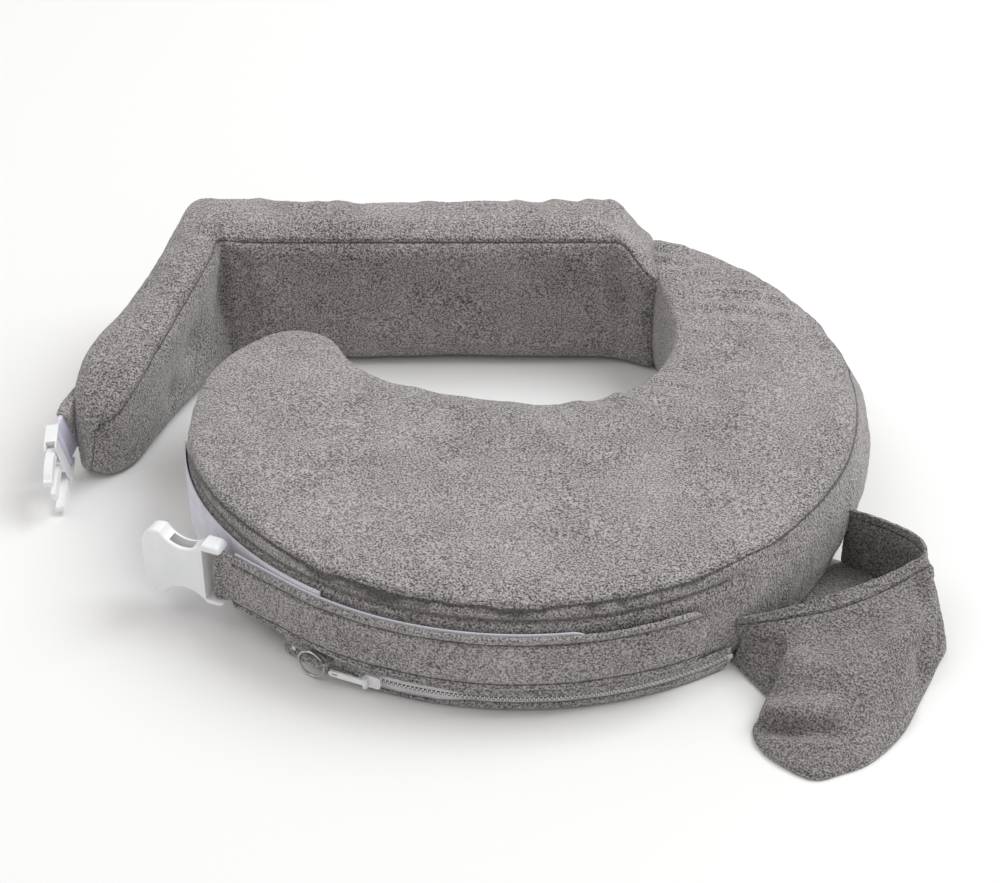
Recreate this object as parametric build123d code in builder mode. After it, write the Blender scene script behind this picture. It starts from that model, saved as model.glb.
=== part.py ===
from build123d import *
import os
from math import atan2, cos, degrees, radians, sin, sqrt, tan

# A wrap-around nursing pillow: a flat foam crescent for the lap, a taller foam backrest
# hinged on the crescent's right horn, a wing hinged on the backrest's far corner, and a
# waist strap with a side-release buckle. Millimetres, +Z up, standing on z = 0.

# ---- Driving dimensions ----
# Crescent
RING_X = 27.13  # centre of the round outer wall
RING_Y = 47.12
RING_R = 270.0  # radius of the round outer wall
PILLOW_H = 95.0
COVER_T = 2.5  # terry cover cloth
TOP_EDGE_R = 12.0
BOTTOM_EDGE_R = 4.0
HORN_X = 118.0  # horn end face, right of the ring centre
HORN_T = 54.0  # length of the horn end face
LOBE_START = -150.0  # where the round wall turns tighter towards the lobe
TOP_SEAM_Z = PILLOW_H - TOP_EDGE_R
BOTTOM_SEAM_Z = BOTTOM_EDGE_R
LOBE_SIDE = 12.0  # the lobe's left side, in from the round wall
LOBE_SHOULDER = (59.0, 77.0)  # in from the round wall, and behind the ring centre
LOBE_INNER = (120.0, 63.0)
HOLLOW = (-91.0, 11.0)  # points of the waist curve, from the ring centre
WAIST_FRONT = (16.0, -15.0)
WAIST_RIGHT = (110.0, 30.0)
HORN_HEEL = (11.0, 68.8)  # right of the horn's face, and in front of its near end

# Backrest
BACK_L = 404.0
BACK_T = 72.0
BACK_H = 130.0
BACK_EDGE_R = 10.0
NECK_RUN = 20.0  # length of the slope that drops to the crescent's height
FOLD_GAP = 1.0  # between the two faces that meet at a fold
WELT_R = 3.0  # rolled seam that each fold turns about
WELT_GAP = 0.4

# Wing
WING_L = 248.0
WING_T = 54.0
WING_HEADING = -107.6  # direction from the corner to the wing's end, degrees
WING_END_H = 82.0  # height that the top's long slope would reach at the end
WING_TIP_H = 60.0  # height of the end itself
WING_TIP_RUN = 34.0  # length of the steeper slope down to it
WING_EDGE_R = 12.0
WING_END_R = 16.0
WING_LEAN = 16.0  # how far the inner face is cut back at the bottom

# Front strap, on its loop panel
POCKET_LEFT = -55.0  # where the pocket's left edge is sewn to the wall
LOOP_T = 1.2
LOOP_Z = 24.0
LOOP_H = TOP_SEAM_Z - LOOP_Z - 8
LOOP_START = -170.0
LOOP_END = -122.0
STRAP_GAP = 0.4
TAPE_T = 1.4
STRAP_T = 4.0
STRAP_H = 46.0
STRAP_Z = LOOP_Z + 1
STRAP_END = POCKET_LEFT - 6  # rounded right end
STRAP_LEAVE = -128.0  # where the strap leaves the wall in a straight line
STRAP_FREE = 68.0  # straight length from there to the buckle's bar
STRAP_TIP_R = 18.0
STRAP_TIP_SHARE = 0.45  # most of the strap's height that a tip corner may take
SEWN_LOOP = 16.0  # length of the sewn loop round a bar

# Side-release buckle: x runs along each half from its bar, y across, z through it
BAR_R = 2.2
BAR_GAP = 0.4
BAR_SINK = 1.0  # bar's end inside each cheek
WEB_T = 2.2
CHEEK_IN = STRAP_H / 2  # half of the clear width between the cheeks that hold a bar
CHEEK_REACH = 6.0  # cheek behind the bar
LOOP_SIDE_GAP = 1.0
BAR_WINDOW = 9.0
SOCKET_TURN = 15.0  # swing of the socket away from the strap's line
ARM_T = 7.0
ARM_W = 4.5
ARM_OUT = CHEEK_IN - 5  # from the middle of the plug to the middle of an arm
CAVITY_START = 18.0
CAVITY_W = 2 * ARM_OUT + 9
CAVITY_T = ARM_T + 1.4
SOCKET_L = 60.0
SOCKET_T = CAVITY_T + 6.6
SOCKET_BAR_W = 2 * CHEEK_IN + 10
SOCKET_WAIST_W = CAVITY_W - 7
SOCKET_WAIST_X = 26.0
SOCKET_MOUTH_W = CAVITY_W + 13
SOCKET_MOUTH_X = 44.0
SOCKET_EDGE_R = 2.5
LIP_L = 3.0
LIP_W = 4.0
PLUG_L = 50.0
PLUG_BODY_END = 20.0
PLUG_BODY_W = 2 * CHEEK_IN + 4
PLUG_T = 10.0
GUIDE_W = 8.0
GUIDE_T = 4.0
ARM_BULGE = 3.0
ARM_NOTCH = 8.0
ARM_PIN_R = 2.0
PIN_GAP = 0.08
SIDE_GAP = 0.4
PLUG_DROOP = 20.0
PLUG_TURN = 18.0  # swing of the plug away from the rear strap's line

# Rear strap on the wing's outer face
REAR_COVER_T = 2.6
REAR_STRAP_H = STRAP_H
REAR_STRAP_Z = 46.0  # middle of the strap where it lies on the wing
REAR_STRAP_START = 62.0  # before the wing's end
REAR_STRAP_BEND = 10.0  # before the wing's end, where the strap starts to droop
REAR_STRAP_DROOP = 24.0  # drooping length, as far as the plug's bar

# Zipper
ZIP_Z = 10.0
ZIP_START = -128.0
ZIP_END = POCKET_LEFT - 0.5
ZIP_TAPE_T = 0.8
ZIP_TAPE_H = 5.0
COIL_T = 1.5
COIL_H = 3.4
STOP_L = 3.0
SLIDER_AT = -113.0
SLIDER_L = 13.0
SLIDER_W = 11.0
SLIDER_T = 4.0
SLIDER_GAP = 0.35
PULL_L = 29.0
PULL_W = 5.0
PULL_T = 1.8
PULL_PIN_R = 1.0
PULL_EYE_R = 2.0
PULL_LIFT = 2.4  # pin axis above the slider's face
EAR_T = 1.4
KEEPER_AT = SLIDER_AT - 7.9  # direction of the keeper tab's eyelet
TAB_W = 20.0
TAB_REACH = 17.0
TAB_T = 3.0
TAB_Z = 18.5
EYELET_R = 3.2
EYELET_EDGE = 6.0  # from the tab's tip to the eyelet's centre
KEEPER_R = 11.1  # ring, to the middle of its wire
KEEPER_WIRE_R = 0.9
KEEPER_HANG = 6.0  # ring's centre below the tab

# Pocket, hung on the wall
POCKET_T = 2.6
POCKET_W = 150.8  # along the wall
POCKET_LEFT_Z = 46.0
POCKET_RIGHT_Z = 56.0
POCKET_HEM = 14.0

STRAP_MID_Z = STRAP_Z + STRAP_H / 2
HORN_Y = sqrt(RING_R**2 - HORN_X**2)  # outer corner of the horn
BACK_RIGHT = HORN_X - FOLD_GAP
BACK_LEFT = BACK_RIGHT - BACK_L


# ---- Small helpers ----
def at(x, y):
    """A plan point given from the ring centre."""
    return (RING_X + x, RING_Y + y)


def ring(angle, radius):
    """A plan point on a circle about the ring centre."""
    return at(radius * cos(radians(angle)), radius * sin(radians(angle)))


def clockwise(angle):
    """The clockwise tangent of the ring at an angle."""
    return (sin(radians(angle)), -cos(radians(angle)))


def moved(point, direction, distance):
    """A plan point moved along a unit direction."""
    return (point[0] + direction[0] * distance, point[1] + direction[1] * distance)


def finish(part, name):
    """Label a finished piece and write its file."""
    part.label = name
    export_step(part, f"parts/{name}.step")


os.makedirs("parts", exist_ok=True)


# ---- Crescent ----
def crescent_face(grow):
    """Plan of the crescent: round wall, lobe, waist curve and horn end, grown all round."""
    with BuildSketch() as plan:
        with BuildLine():
            wall = CenterArc(at(0, 0), RING_R, LOBE_START, degrees(atan2(HORN_Y, HORN_X)) - LOBE_START)
            side = TangentArc(wall @ 0, at(LOBE_SIDE - RING_R, 0), tangent=clockwise(LOBE_START))
            shoulder_end = at(LOBE_SHOULDER[0] - RING_R, LOBE_SHOULDER[1])
            shoulder = TangentArc(side @ 1, shoulder_end, tangent=side % 1)
            lobe_end = at(LOBE_INNER[0] - RING_R, LOBE_INNER[1])
            lobe = TangentArc(shoulder @ 1, lobe_end, tangent=shoulder % 1)
            hollow = TangentArc(lobe @ 1, at(*HOLLOW), tangent=lobe % 1)
            front = TangentArc(hollow @ 1, at(*WAIST_FRONT), tangent=hollow % 1)
            waist = TangentArc(front @ 1, at(*WAIST_RIGHT), tangent=front % 1)
            heel = at(HORN_X + HORN_HEEL[0], HORN_Y - HORN_T - HORN_HEEL[1])
            inner = TangentArc(waist @ 1, heel, tangent=waist % 1)
            neck = Line(inner @ 1, at(HORN_X, HORN_Y - HORN_T))
            Line(neck @ 1, wall @ 1)
        make_face()
        if grow:
            offset(amount=grow, kind=Kind.INTERSECTION)
    return plan.sketch


def crescent_block(inset):
    """The crescent's rounded solid, shrunk on every side by an inset."""
    with BuildPart() as block:
        with BuildSketch(Plane.XY.offset(inset)):
            add(crescent_face(-inset))
        extrude(amount=PILLOW_H - 2 * inset)
        fillet(block.edges().group_by(Axis.Z)[-1], TOP_EDGE_R - inset)
        fillet(block.edges().group_by(Axis.Z)[0], BOTTOM_EDGE_R - inset)
        with Locations(neck_axis):
            Cylinder(WELT_R, 2 * PILLOW_H, mode=Mode.SUBTRACT)
    return block.part


def wedge_face(start, end):
    """A slice of a broad ring about the ring centre, reaching well past the wall."""
    with BuildSketch() as slice_plan:
        with BuildLine():
            rim = CenterArc(at(0, 0), 2 * RING_R, start, end - start)
            Line(at(0, 0), rim @ 0)
            Line(rim @ 1, at(0, 0))
        make_face()
        with Locations(at(0, 0)):
            Circle(RING_R / 2, mode=Mode.SUBTRACT)
    return slice_plan.sketch


def wall_band(inner, outer, low, height, start, end):
    """A thin band that follows the crescent's wall, between two offsets from it."""
    with BuildPart() as band:
        with BuildSketch(Plane.XY.offset(low)):
            add(crescent_face(outer))
            add(crescent_face(inner), mode=Mode.SUBTRACT)
            add(wedge_face(start, end), mode=Mode.INTERSECT)
        extrude(amount=height)
    return band.part


neck_axis = at(HORN_X - FOLD_GAP / 2, HORN_Y)
pillow_solid = crescent_block(0)
pillow_core = crescent_block(COVER_T)

with BuildPart() as pillow_foam:
    add(pillow_core)
finish(pillow_foam.part, "pillow_foam")

with BuildPart() as pillow_skin:
    add(pillow_solid)
    add(pillow_core, mode=Mode.SUBTRACT)

with BuildPart() as cover_top_panel:
    add(pillow_skin)
    split(bisect_by=Plane.XY.offset(TOP_SEAM_Z), keep=Keep.TOP)
finish(cover_top_panel.part, "cover_top_panel")

with BuildPart() as cover_side_band:
    add(pillow_skin)
    split(bisect_by=Plane.XY.offset(TOP_SEAM_Z), keep=Keep.BOTTOM)
    split(bisect_by=Plane.XY.offset(BOTTOM_SEAM_Z), keep=Keep.TOP)
finish(cover_side_band.part, "cover_side_band")

with BuildPart() as cover_bottom_panel:
    add(pillow_skin)
    split(bisect_by=Plane.XY.offset(BOTTOM_SEAM_Z), keep=Keep.BOTTOM)
finish(cover_bottom_panel.part, "cover_bottom_panel")

with BuildPart() as neck_fold_welt:
    with BuildSketch(Plane.XY.offset(BOTTOM_SEAM_Z)):
        with Locations(neck_axis):
            Circle(WELT_R)
    extrude(amount=TOP_SEAM_Z - BOTTOM_SEAM_Z)
finish(neck_fold_welt.part, "neck_fold_welt")

with BuildPart() as loop_panel:
    add(wall_band(0, LOOP_T, LOOP_Z, LOOP_H, LOOP_START, LOOP_END))
finish(loop_panel.part, "loop_panel")

# ---- Zipper in the lower edge of the side band ----
TAPE_LOWS = {"zipper_tape_upper": ZIP_Z + COIL_H / 2, "zipper_tape_lower": ZIP_Z - COIL_H / 2 - ZIP_TAPE_H}
for name, low in TAPE_LOWS.items():
    with BuildPart() as zipper_tape:
        add(wall_band(0, ZIP_TAPE_T, low, ZIP_TAPE_H, ZIP_START, ZIP_END))
    finish(zipper_tape.part, name)

with BuildPart() as zipper_coil:
    add(wall_band(0, COIL_T, ZIP_Z - COIL_H / 2, COIL_H, ZIP_START, ZIP_END))
finish(zipper_coil.part, "zipper_coil")

STOP_ARC = degrees(STOP_L / RING_R)
with BuildPart() as zipper_stops:
    for start in (ZIP_START, ZIP_END - STOP_ARC):
        add(wall_band(COIL_T, 2 * COIL_T, ZIP_Z - COIL_H / 2, COIL_H, start, start + STOP_ARC))
finish(zipper_stops.part, "zipper_stops")


def ring_plane(angle, radius, height):
    """A plane on the wall: x runs clockwise along it, z points straight out from it."""
    x, y = ring(angle, radius)
    along = clockwise(angle)
    out = (cos(radians(angle)), sin(radians(angle)), 0)
    return Plane(origin=(x, y, height), x_dir=(along[0], along[1], 0), z_dir=out)


def cross_plane(plane, x, y, z):
    """A plane across another's y axis, centred on a point in that plane's own axes."""
    return Plane(origin=plane.from_local_coords((x, y, z)), x_dir=plane.x_dir, z_dir=plane.y_dir)


slider_plane = ring_plane(SLIDER_AT, RING_R + ZIP_TAPE_T + SLIDER_GAP, ZIP_Z)
PULL_PIN_X = SLIDER_L / 2 - PULL_EYE_R
PULL_PIN_Z = SLIDER_T + PULL_LIFT
pull_plane = cross_plane(slider_plane, PULL_PIN_X, 0, PULL_PIN_Z)
with BuildPart() as zipper_slider:
    with BuildSketch(slider_plane):
        RectangleRounded(SLIDER_L, SLIDER_W, 3)
    extrude(amount=SLIDER_T)
    with BuildSketch(slider_plane):
        Rectangle(2 * SLIDER_L, COIL_H + 2 * SLIDER_GAP)
    extrude(amount=COIL_T - ZIP_TAPE_T, mode=Mode.SUBTRACT)
    with BuildSketch(pull_plane):
        Circle(PULL_EYE_R)
        with Locations((0, PULL_LIFT / 2)):
            Rectangle(2 * PULL_EYE_R, PULL_LIFT)
    extrude(amount=PULL_W / 2 + SIDE_GAP + EAR_T, both=True)
    with BuildSketch(pull_plane):
        with Locations((0, -PULL_EYE_R)):
            Rectangle(4 * PULL_EYE_R, 2 * (PULL_LIFT + PULL_EYE_R))
    extrude(amount=PULL_W / 2 + SIDE_GAP, both=True, mode=Mode.SUBTRACT)
    with BuildSketch(pull_plane):
        Circle(PULL_PIN_R)
    extrude(amount=PULL_W / 2 + SIDE_GAP, both=True)
finish(zipper_slider.part, "zipper_slider")

with BuildPart() as zipper_pull:
    with BuildSketch(Plane(origin=pull_plane.origin, x_dir=slider_plane.x_dir, z_dir=slider_plane.z_dir)):
        with Locations((PULL_L / 2, 0)):
            RectangleRounded(PULL_L, PULL_W, PULL_W / 2 - SIDE_GAP)
        with Locations((PULL_L - PULL_W, 0)):
            SlotOverall(PULL_W, PULL_T, mode=Mode.SUBTRACT)
    extrude(amount=PULL_T / 2, both=True)
    with BuildSketch(pull_plane):
        Circle(PULL_EYE_R)
    extrude(amount=PULL_W / 2, both=True)
    with BuildSketch(pull_plane):
        Circle(PULL_PIN_R + PIN_GAP)
    extrude(amount=PULL_W, both=True, mode=Mode.SUBTRACT)
finish(zipper_pull.part, "zipper_pull")

# ---- Keeper tab with its eyelet, and the ring that hangs in it ----
tab_plane = ring_plane(KEEPER_AT, RING_R, TAB_Z)
with BuildPart() as keeper_tab:
    with BuildSketch(Plane(origin=tab_plane.origin, x_dir=tab_plane.x_dir, z_dir=(0, 0, 1))):
        with Locations((TAB_W / 2 - EYELET_EDGE, TAB_REACH / 2)):
            RectangleRounded(TAB_W, TAB_REACH, EYELET_EDGE)
        with Locations((TAB_W / 2 - EYELET_EDGE, TAB_REACH / 4)):
            Rectangle(TAB_W, TAB_REACH / 2)
        with Locations((0, TAB_REACH - EYELET_EDGE)):
            Circle(EYELET_R, mode=Mode.SUBTRACT)
    extrude(amount=TAB_T / 2, both=True)
    add(pillow_solid, mode=Mode.SUBTRACT)
finish(keeper_tab.part, "keeper_tab")

KEEPER_SIDE = sqrt(KEEPER_R**2 - KEEPER_HANG**2)
keeper_plane = cross_plane(tab_plane, KEEPER_SIDE, KEEPER_HANG, TAB_REACH - EYELET_EDGE)
with BuildPart() as keeper_ring:
    with BuildSketch(keeper_plane):
        with Locations((KEEPER_R, 0)):
            Circle(KEEPER_WIRE_R)
    revolve(axis=Axis(keeper_plane.origin, tab_plane.z_dir))
finish(keeper_ring.part, "keeper_ring")

# ---- Front strap: terry face and hook tape, straight where it leaves the wall ----
TAPE_IN = RING_R + LOOP_T + STRAP_GAP
STRAP_IN = TAPE_IN + TAPE_T
STRAP_MID = STRAP_IN + STRAP_T / 2
strap_dir = clockwise(STRAP_LEAVE)
bar_at = moved(ring(STRAP_LEAVE, STRAP_MID), strap_dir, STRAP_FREE)


def strap_layer(inner, thickness, low, height):
    """One layer of the strap: an arc on the wall, then a straight run to the sewn loop."""
    with BuildPart() as layer:
        with BuildSketch(Plane.XY.offset(low)):
            with Locations(at(0, 0)):
                Circle(inner + thickness)
                Circle(inner, mode=Mode.SUBTRACT)
            add(wedge_face(STRAP_LEAVE, STRAP_END), mode=Mode.INTERSECT)
        extrude(amount=height)
        run = STRAP_FREE - SEWN_LOOP
        leave = ring_plane(STRAP_LEAVE, inner, low + height / 2)
        with BuildSketch(leave):
            with Locations((run / 2, 0)):
                Rectangle(run, height)
        extrude(amount=thickness)
        tip = ring_plane(STRAP_END, inner, low + height / 2)
        ends = layer.edges().filter_by(Axis(tip.origin, tip.z_dir)).sort_by(Axis(tip.origin, tip.x_dir))[:2]
        fillet(ends, min(STRAP_TIP_R, STRAP_TIP_SHARE * height))
    return layer.part


with BuildPart() as strap_cover:
    add(strap_layer(STRAP_IN, STRAP_T, STRAP_Z, STRAP_H))
finish(strap_cover.part, "strap_cover")

with BuildPart() as strap_hook_tape:
    add(strap_layer(TAPE_IN, TAPE_T, STRAP_Z, STRAP_H))
finish(strap_hook_tape.part, "strap_hook_tape")


def web_loop(plane, height, length):
    """A web folded round a bar at the plane's origin and sewn to itself behind it."""
    hole = BAR_R + BAR_GAP
    with BuildPart() as loop:
        with BuildSketch(Plane(origin=plane.origin, x_dir=plane.x_dir, z_dir=plane.y_dir)):
            with Locations((-length / 2, 0)):
                Rectangle(length, STRAP_T)
            Circle(hole + WEB_T)
            Circle(hole, mode=Mode.SUBTRACT)
        extrude(amount=height / 2, both=True)
    return loop.part


strap_end_plane = Plane(
    origin=(bar_at[0], bar_at[1], STRAP_MID_Z),
    x_dir=(strap_dir[0], strap_dir[1], 0),
    z_dir=(-strap_dir[1], strap_dir[0], 0),
)
LOOP_W = 2 * (CHEEK_IN - LOOP_SIDE_GAP)
with BuildPart() as strap_buckle_loop:
    add(web_loop(strap_end_plane, LOOP_W, SEWN_LOOP))
finish(strap_buckle_loop.part, "strap_buckle_loop")

# ---- Buckle socket on the front strap ----
socket_heading = degrees(atan2(strap_dir[1], strap_dir[0])) + SOCKET_TURN
socket_plane = Plane(
    origin=strap_end_plane.origin,
    x_dir=(cos(radians(socket_heading)), sin(radians(socket_heading)), 0),
    z_dir=(-sin(radians(socket_heading)), cos(radians(socket_heading)), 0),
)


with BuildPart() as buckle_socket:
    with BuildSketch(socket_plane):
        with BuildLine():
            rear = Line((-CHEEK_REACH, 0), (-CHEEK_REACH, SOCKET_BAR_W / 2 - CHEEK_REACH))
            corner = TangentArc(rear @ 1, (0, SOCKET_BAR_W / 2), tangent=rear % 1)
            cheek = Line(corner @ 1, (BAR_WINDOW, SOCKET_BAR_W / 2))
            waist_point = (SOCKET_WAIST_X, SOCKET_WAIST_W / 2)
            side = ThreePointArc(cheek @ 1, waist_point, (SOCKET_MOUTH_X, SOCKET_MOUTH_W / 2))
            lip_point = (SOCKET_L - LIP_L, SOCKET_MOUTH_W / 2 - LIP_W)
            lip = ThreePointArc(side @ 1, lip_point, (SOCKET_L, CAVITY_W / 2 - LIP_W))
            Line(lip @ 1, (SOCKET_L, 0))
            mirror(about=Plane.XZ)
        make_face()
    extrude(amount=SOCKET_T / 2, both=True)
    fillet(buckle_socket.edges().filter_by(GeomType.CIRCLE), SOCKET_EDGE_R)
    with BuildSketch(socket_plane):
        with Locations(((CAVITY_START + 2 * SOCKET_L) / 2, 0)):
            Rectangle(2 * SOCKET_L - CAVITY_START, CAVITY_W)
    extrude(amount=CAVITY_T / 2, both=True, mode=Mode.SUBTRACT)
    with BuildSketch(socket_plane):
        with Locations(((BAR_WINDOW - 2 * CHEEK_REACH) / 2, 0)):
            Rectangle(BAR_WINDOW + 2 * CHEEK_REACH, 2 * CHEEK_IN)
    extrude(amount=SOCKET_T, both=True, mode=Mode.SUBTRACT)
    with BuildSketch(cross_plane(socket_plane, 0, 0, 0)):
        Circle(BAR_R)
    extrude(amount=CHEEK_IN + BAR_SINK, both=True)
finish(buckle_socket.part, "buckle_socket")

# ---- Backrest: a tall bar behind the waist, sloped down to the crescent at the neck ----
wing_dir = (cos(radians(WING_HEADING)), sin(radians(WING_HEADING)))
wing_out = (wing_dir[1], -wing_dir[0])
corner = at(BACK_LEFT, HORN_Y)
MITRE_RUN = (BACK_T + WING_T * wing_dir[0]) / -wing_dir[1]
inner_corner = moved(moved(corner, wing_out, -WING_T), wing_dir, MITRE_RUN)
neck_slope = Plane(
    origin=(RING_X + BACK_RIGHT, 0, PILLOW_H),
    x_dir=(0, 1, 0),
    z_dir=(BACK_H - PILLOW_H, 0, NECK_RUN),
)


def outline_face(points, grow):
    """A closed outline through plan points, grown all round."""
    with BuildSketch() as plan:
        with BuildLine():
            Polyline(*points, close=True)
        make_face()
        if grow:
            offset(amount=grow, kind=Kind.INTERSECTION)
    return plan.sketch


def backrest_block(inset):
    """The backrest's solid, shrunk on every side by an inset."""
    points = (at(BACK_RIGHT, HORN_Y), corner, inner_corner, at(BACK_RIGHT, HORN_Y - BACK_T))
    with BuildPart() as block:
        with BuildSketch(Plane.XY.offset(inset)):
            add(outline_face(points, -inset))
        extrude(amount=BACK_H - 2 * inset)
        split(bisect_by=neck_slope.offset(-inset), keep=Keep.BOTTOM)
        long_edges = block.edges().group_by(Axis.Z)[-1].filter_by(Axis.X)
        fillet(long_edges, BACK_EDGE_R - inset)
        for x, y in (neck_axis, corner):
            with Locations((x, y)):
                Cylinder(WELT_R + WELT_GAP, 3 * BACK_H, mode=Mode.SUBTRACT)
    return block.part


back_solid = backrest_block(0)
back_core = backrest_block(COVER_T)
with BuildPart() as backrest_foam:
    add(back_core)
finish(backrest_foam.part, "backrest_foam")

with BuildPart() as backrest_top_panel:
    add(back_solid)
    add(back_core, mode=Mode.SUBTRACT)
    split(bisect_by=Plane.XY.offset(BACK_H - BACK_EDGE_R), keep=Keep.TOP)
finish(backrest_top_panel.part, "backrest_top_panel")

with BuildPart() as backrest_cover:
    add(back_solid)
    add(back_core, mode=Mode.SUBTRACT)
    split(bisect_by=Plane.XY.offset(BACK_H - BACK_EDGE_R), keep=Keep.BOTTOM)
finish(backrest_cover.part, "backrest_cover")

with BuildPart() as wing_fold_welt:
    with BuildSketch(Plane.XY.offset(BOTTOM_SEAM_Z)):
        with Locations(corner):
            Circle(WELT_R)
    extrude(amount=BACK_H - BACK_EDGE_R - BOTTOM_SEAM_Z)
finish(wing_fold_welt.part, "wing_fold_welt")

# ---- Wing: turned towards the front, lower at its end and leaning outwards ----
wing_near = moved(corner, wing_dir, FOLD_GAP)
wing_tip = moved(corner, wing_dir, WING_L)
wing_tip_in = moved(wing_tip, wing_out, -WING_T)
WING_FALL = (BACK_H - WING_END_H) / WING_L
wing_slope = Plane(
    origin=(corner[0], corner[1], BACK_H),
    x_dir=(wing_out[0], wing_out[1], 0),
    z_dir=(wing_dir[0] * WING_FALL, wing_dir[1] * WING_FALL, 1),
)
TIP_FALL = (WING_END_H - WING_TIP_H) / WING_TIP_RUN + WING_FALL
wing_tip_slope = Plane(
    origin=(wing_tip[0], wing_tip[1], WING_TIP_H),
    x_dir=(wing_out[0], wing_out[1], 0),
    z_dir=(wing_dir[0] * TIP_FALL, wing_dir[1] * TIP_FALL, 1),
)
wing_lean = Plane(
    origin=(wing_tip_in[0], wing_tip_in[1], WING_END_H),
    x_dir=(wing_dir[0], wing_dir[1], 0),
    z_dir=(-wing_out[0] * WING_END_H, -wing_out[1] * WING_END_H, -WING_LEAN),
)


def wing_block(inset):
    """The wing's solid, shrunk on every side by an inset."""
    points = (wing_near, wing_tip, wing_tip_in, moved(inner_corner, wing_dir, FOLD_GAP))
    with BuildPart() as block:
        with BuildSketch(Plane.XY.offset(inset)):
            add(outline_face(points, -inset))
        extrude(amount=BACK_H - 2 * inset)
        split(bisect_by=wing_slope.offset(-inset), keep=Keep.BOTTOM)
        split(bisect_by=wing_lean.offset(-inset), keep=Keep.BOTTOM)
        split(bisect_by=wing_tip_slope.offset(-inset), keep=Keep.BOTTOM)
        end_edges = block.edges().filter_by(Axis.Z).sort_by(Axis(wing_near + (0,), wing_dir + (0,)))[-2:]
        fillet(end_edges, WING_END_R - inset)
        with Locations(corner):
            Cylinder(WELT_R + WELT_GAP, 3 * BACK_H, mode=Mode.SUBTRACT)
    return block.part


wing_solid = wing_block(0)
wing_core = wing_block(COVER_T)
with BuildPart() as wing_foam:
    add(wing_core)
finish(wing_foam.part, "wing_foam")

with BuildPart() as wing_top_panel:
    add(wing_solid)
    add(wing_core, mode=Mode.SUBTRACT)
    split(bisect_by=wing_slope.offset(-WING_EDGE_R), keep=Keep.TOP)
finish(wing_top_panel.part, "wing_top_panel")

with BuildPart() as wing_cover:
    add(wing_solid)
    add(wing_core, mode=Mode.SUBTRACT)
    split(bisect_by=wing_slope.offset(-WING_EDGE_R), keep=Keep.BOTTOM)
finish(wing_cover.part, "wing_cover")

# ---- Rear strap: terry sleeve on the wing's outer face, with a web inside it ----
REAR_T = 2 * REAR_COVER_T + STRAP_T
rear_plane = Plane(
    origin=(wing_tip[0], wing_tip[1], REAR_STRAP_Z),
    x_dir=(wing_dir[0], wing_dir[1], 0),
    z_dir=(wing_out[0], wing_out[1], 0),
)
droop = radians(PLUG_DROOP)
plug_plane = Plane(
    origin=rear_plane.from_local_coords(
        (-REAR_STRAP_BEND + REAR_STRAP_DROOP * cos(droop), -REAR_STRAP_DROOP * sin(droop), REAR_T / 2)
    ),
    x_dir=rear_plane.x_dir * cos(droop) - rear_plane.y_dir * sin(droop),
    z_dir=rear_plane.z_dir,
)
turn = radians(PLUG_TURN)
plug_half = Plane(
    origin=plug_plane.origin,
    x_dir=plug_plane.x_dir * cos(turn) - plug_plane.z_dir * sin(turn),
    z_dir=plug_plane.z_dir * cos(turn) + plug_plane.x_dir * sin(turn),
)


def rear_strap_layer(low, thickness, width, drooping):
    """A layer of the rear strap: straight on the wing, then drooping past its end."""
    half = width / 2
    mitre = half * tan(droop / 2)
    end = (-REAR_STRAP_BEND + drooping * cos(droop), -drooping * sin(droop))
    points = (
        (-REAR_STRAP_START, half),
        (-REAR_STRAP_BEND + mitre, half),
        (end[0] + half * sin(droop), end[1] + half * cos(droop)),
        (end[0] - half * sin(droop), end[1] - half * cos(droop)),
        (-REAR_STRAP_BEND - mitre, -half),
        (-REAR_STRAP_START, -half),
    )
    with BuildPart() as layer:
        with BuildSketch(rear_plane.offset(low)):
            add(outline_face(points, 0))
        extrude(amount=thickness)
    return layer.part


REAR_SLEEVE = REAR_STRAP_DROOP - SEWN_LOOP
with BuildPart() as rear_strap_cover:
    add(rear_strap_layer(0, REAR_T, REAR_STRAP_H, REAR_SLEEVE))
    add(rear_strap_layer(REAR_COVER_T, STRAP_T, LOOP_W, 2 * REAR_STRAP_DROOP), mode=Mode.SUBTRACT)
finish(rear_strap_cover.part, "rear_strap_cover")

with BuildPart() as rear_strap_webbing:
    add(rear_strap_layer(REAR_COVER_T, STRAP_T, LOOP_W, REAR_SLEEVE))
    add(web_loop(plug_plane, LOOP_W, SEWN_LOOP))
finish(rear_strap_webbing.part, "rear_strap_webbing")

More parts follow.
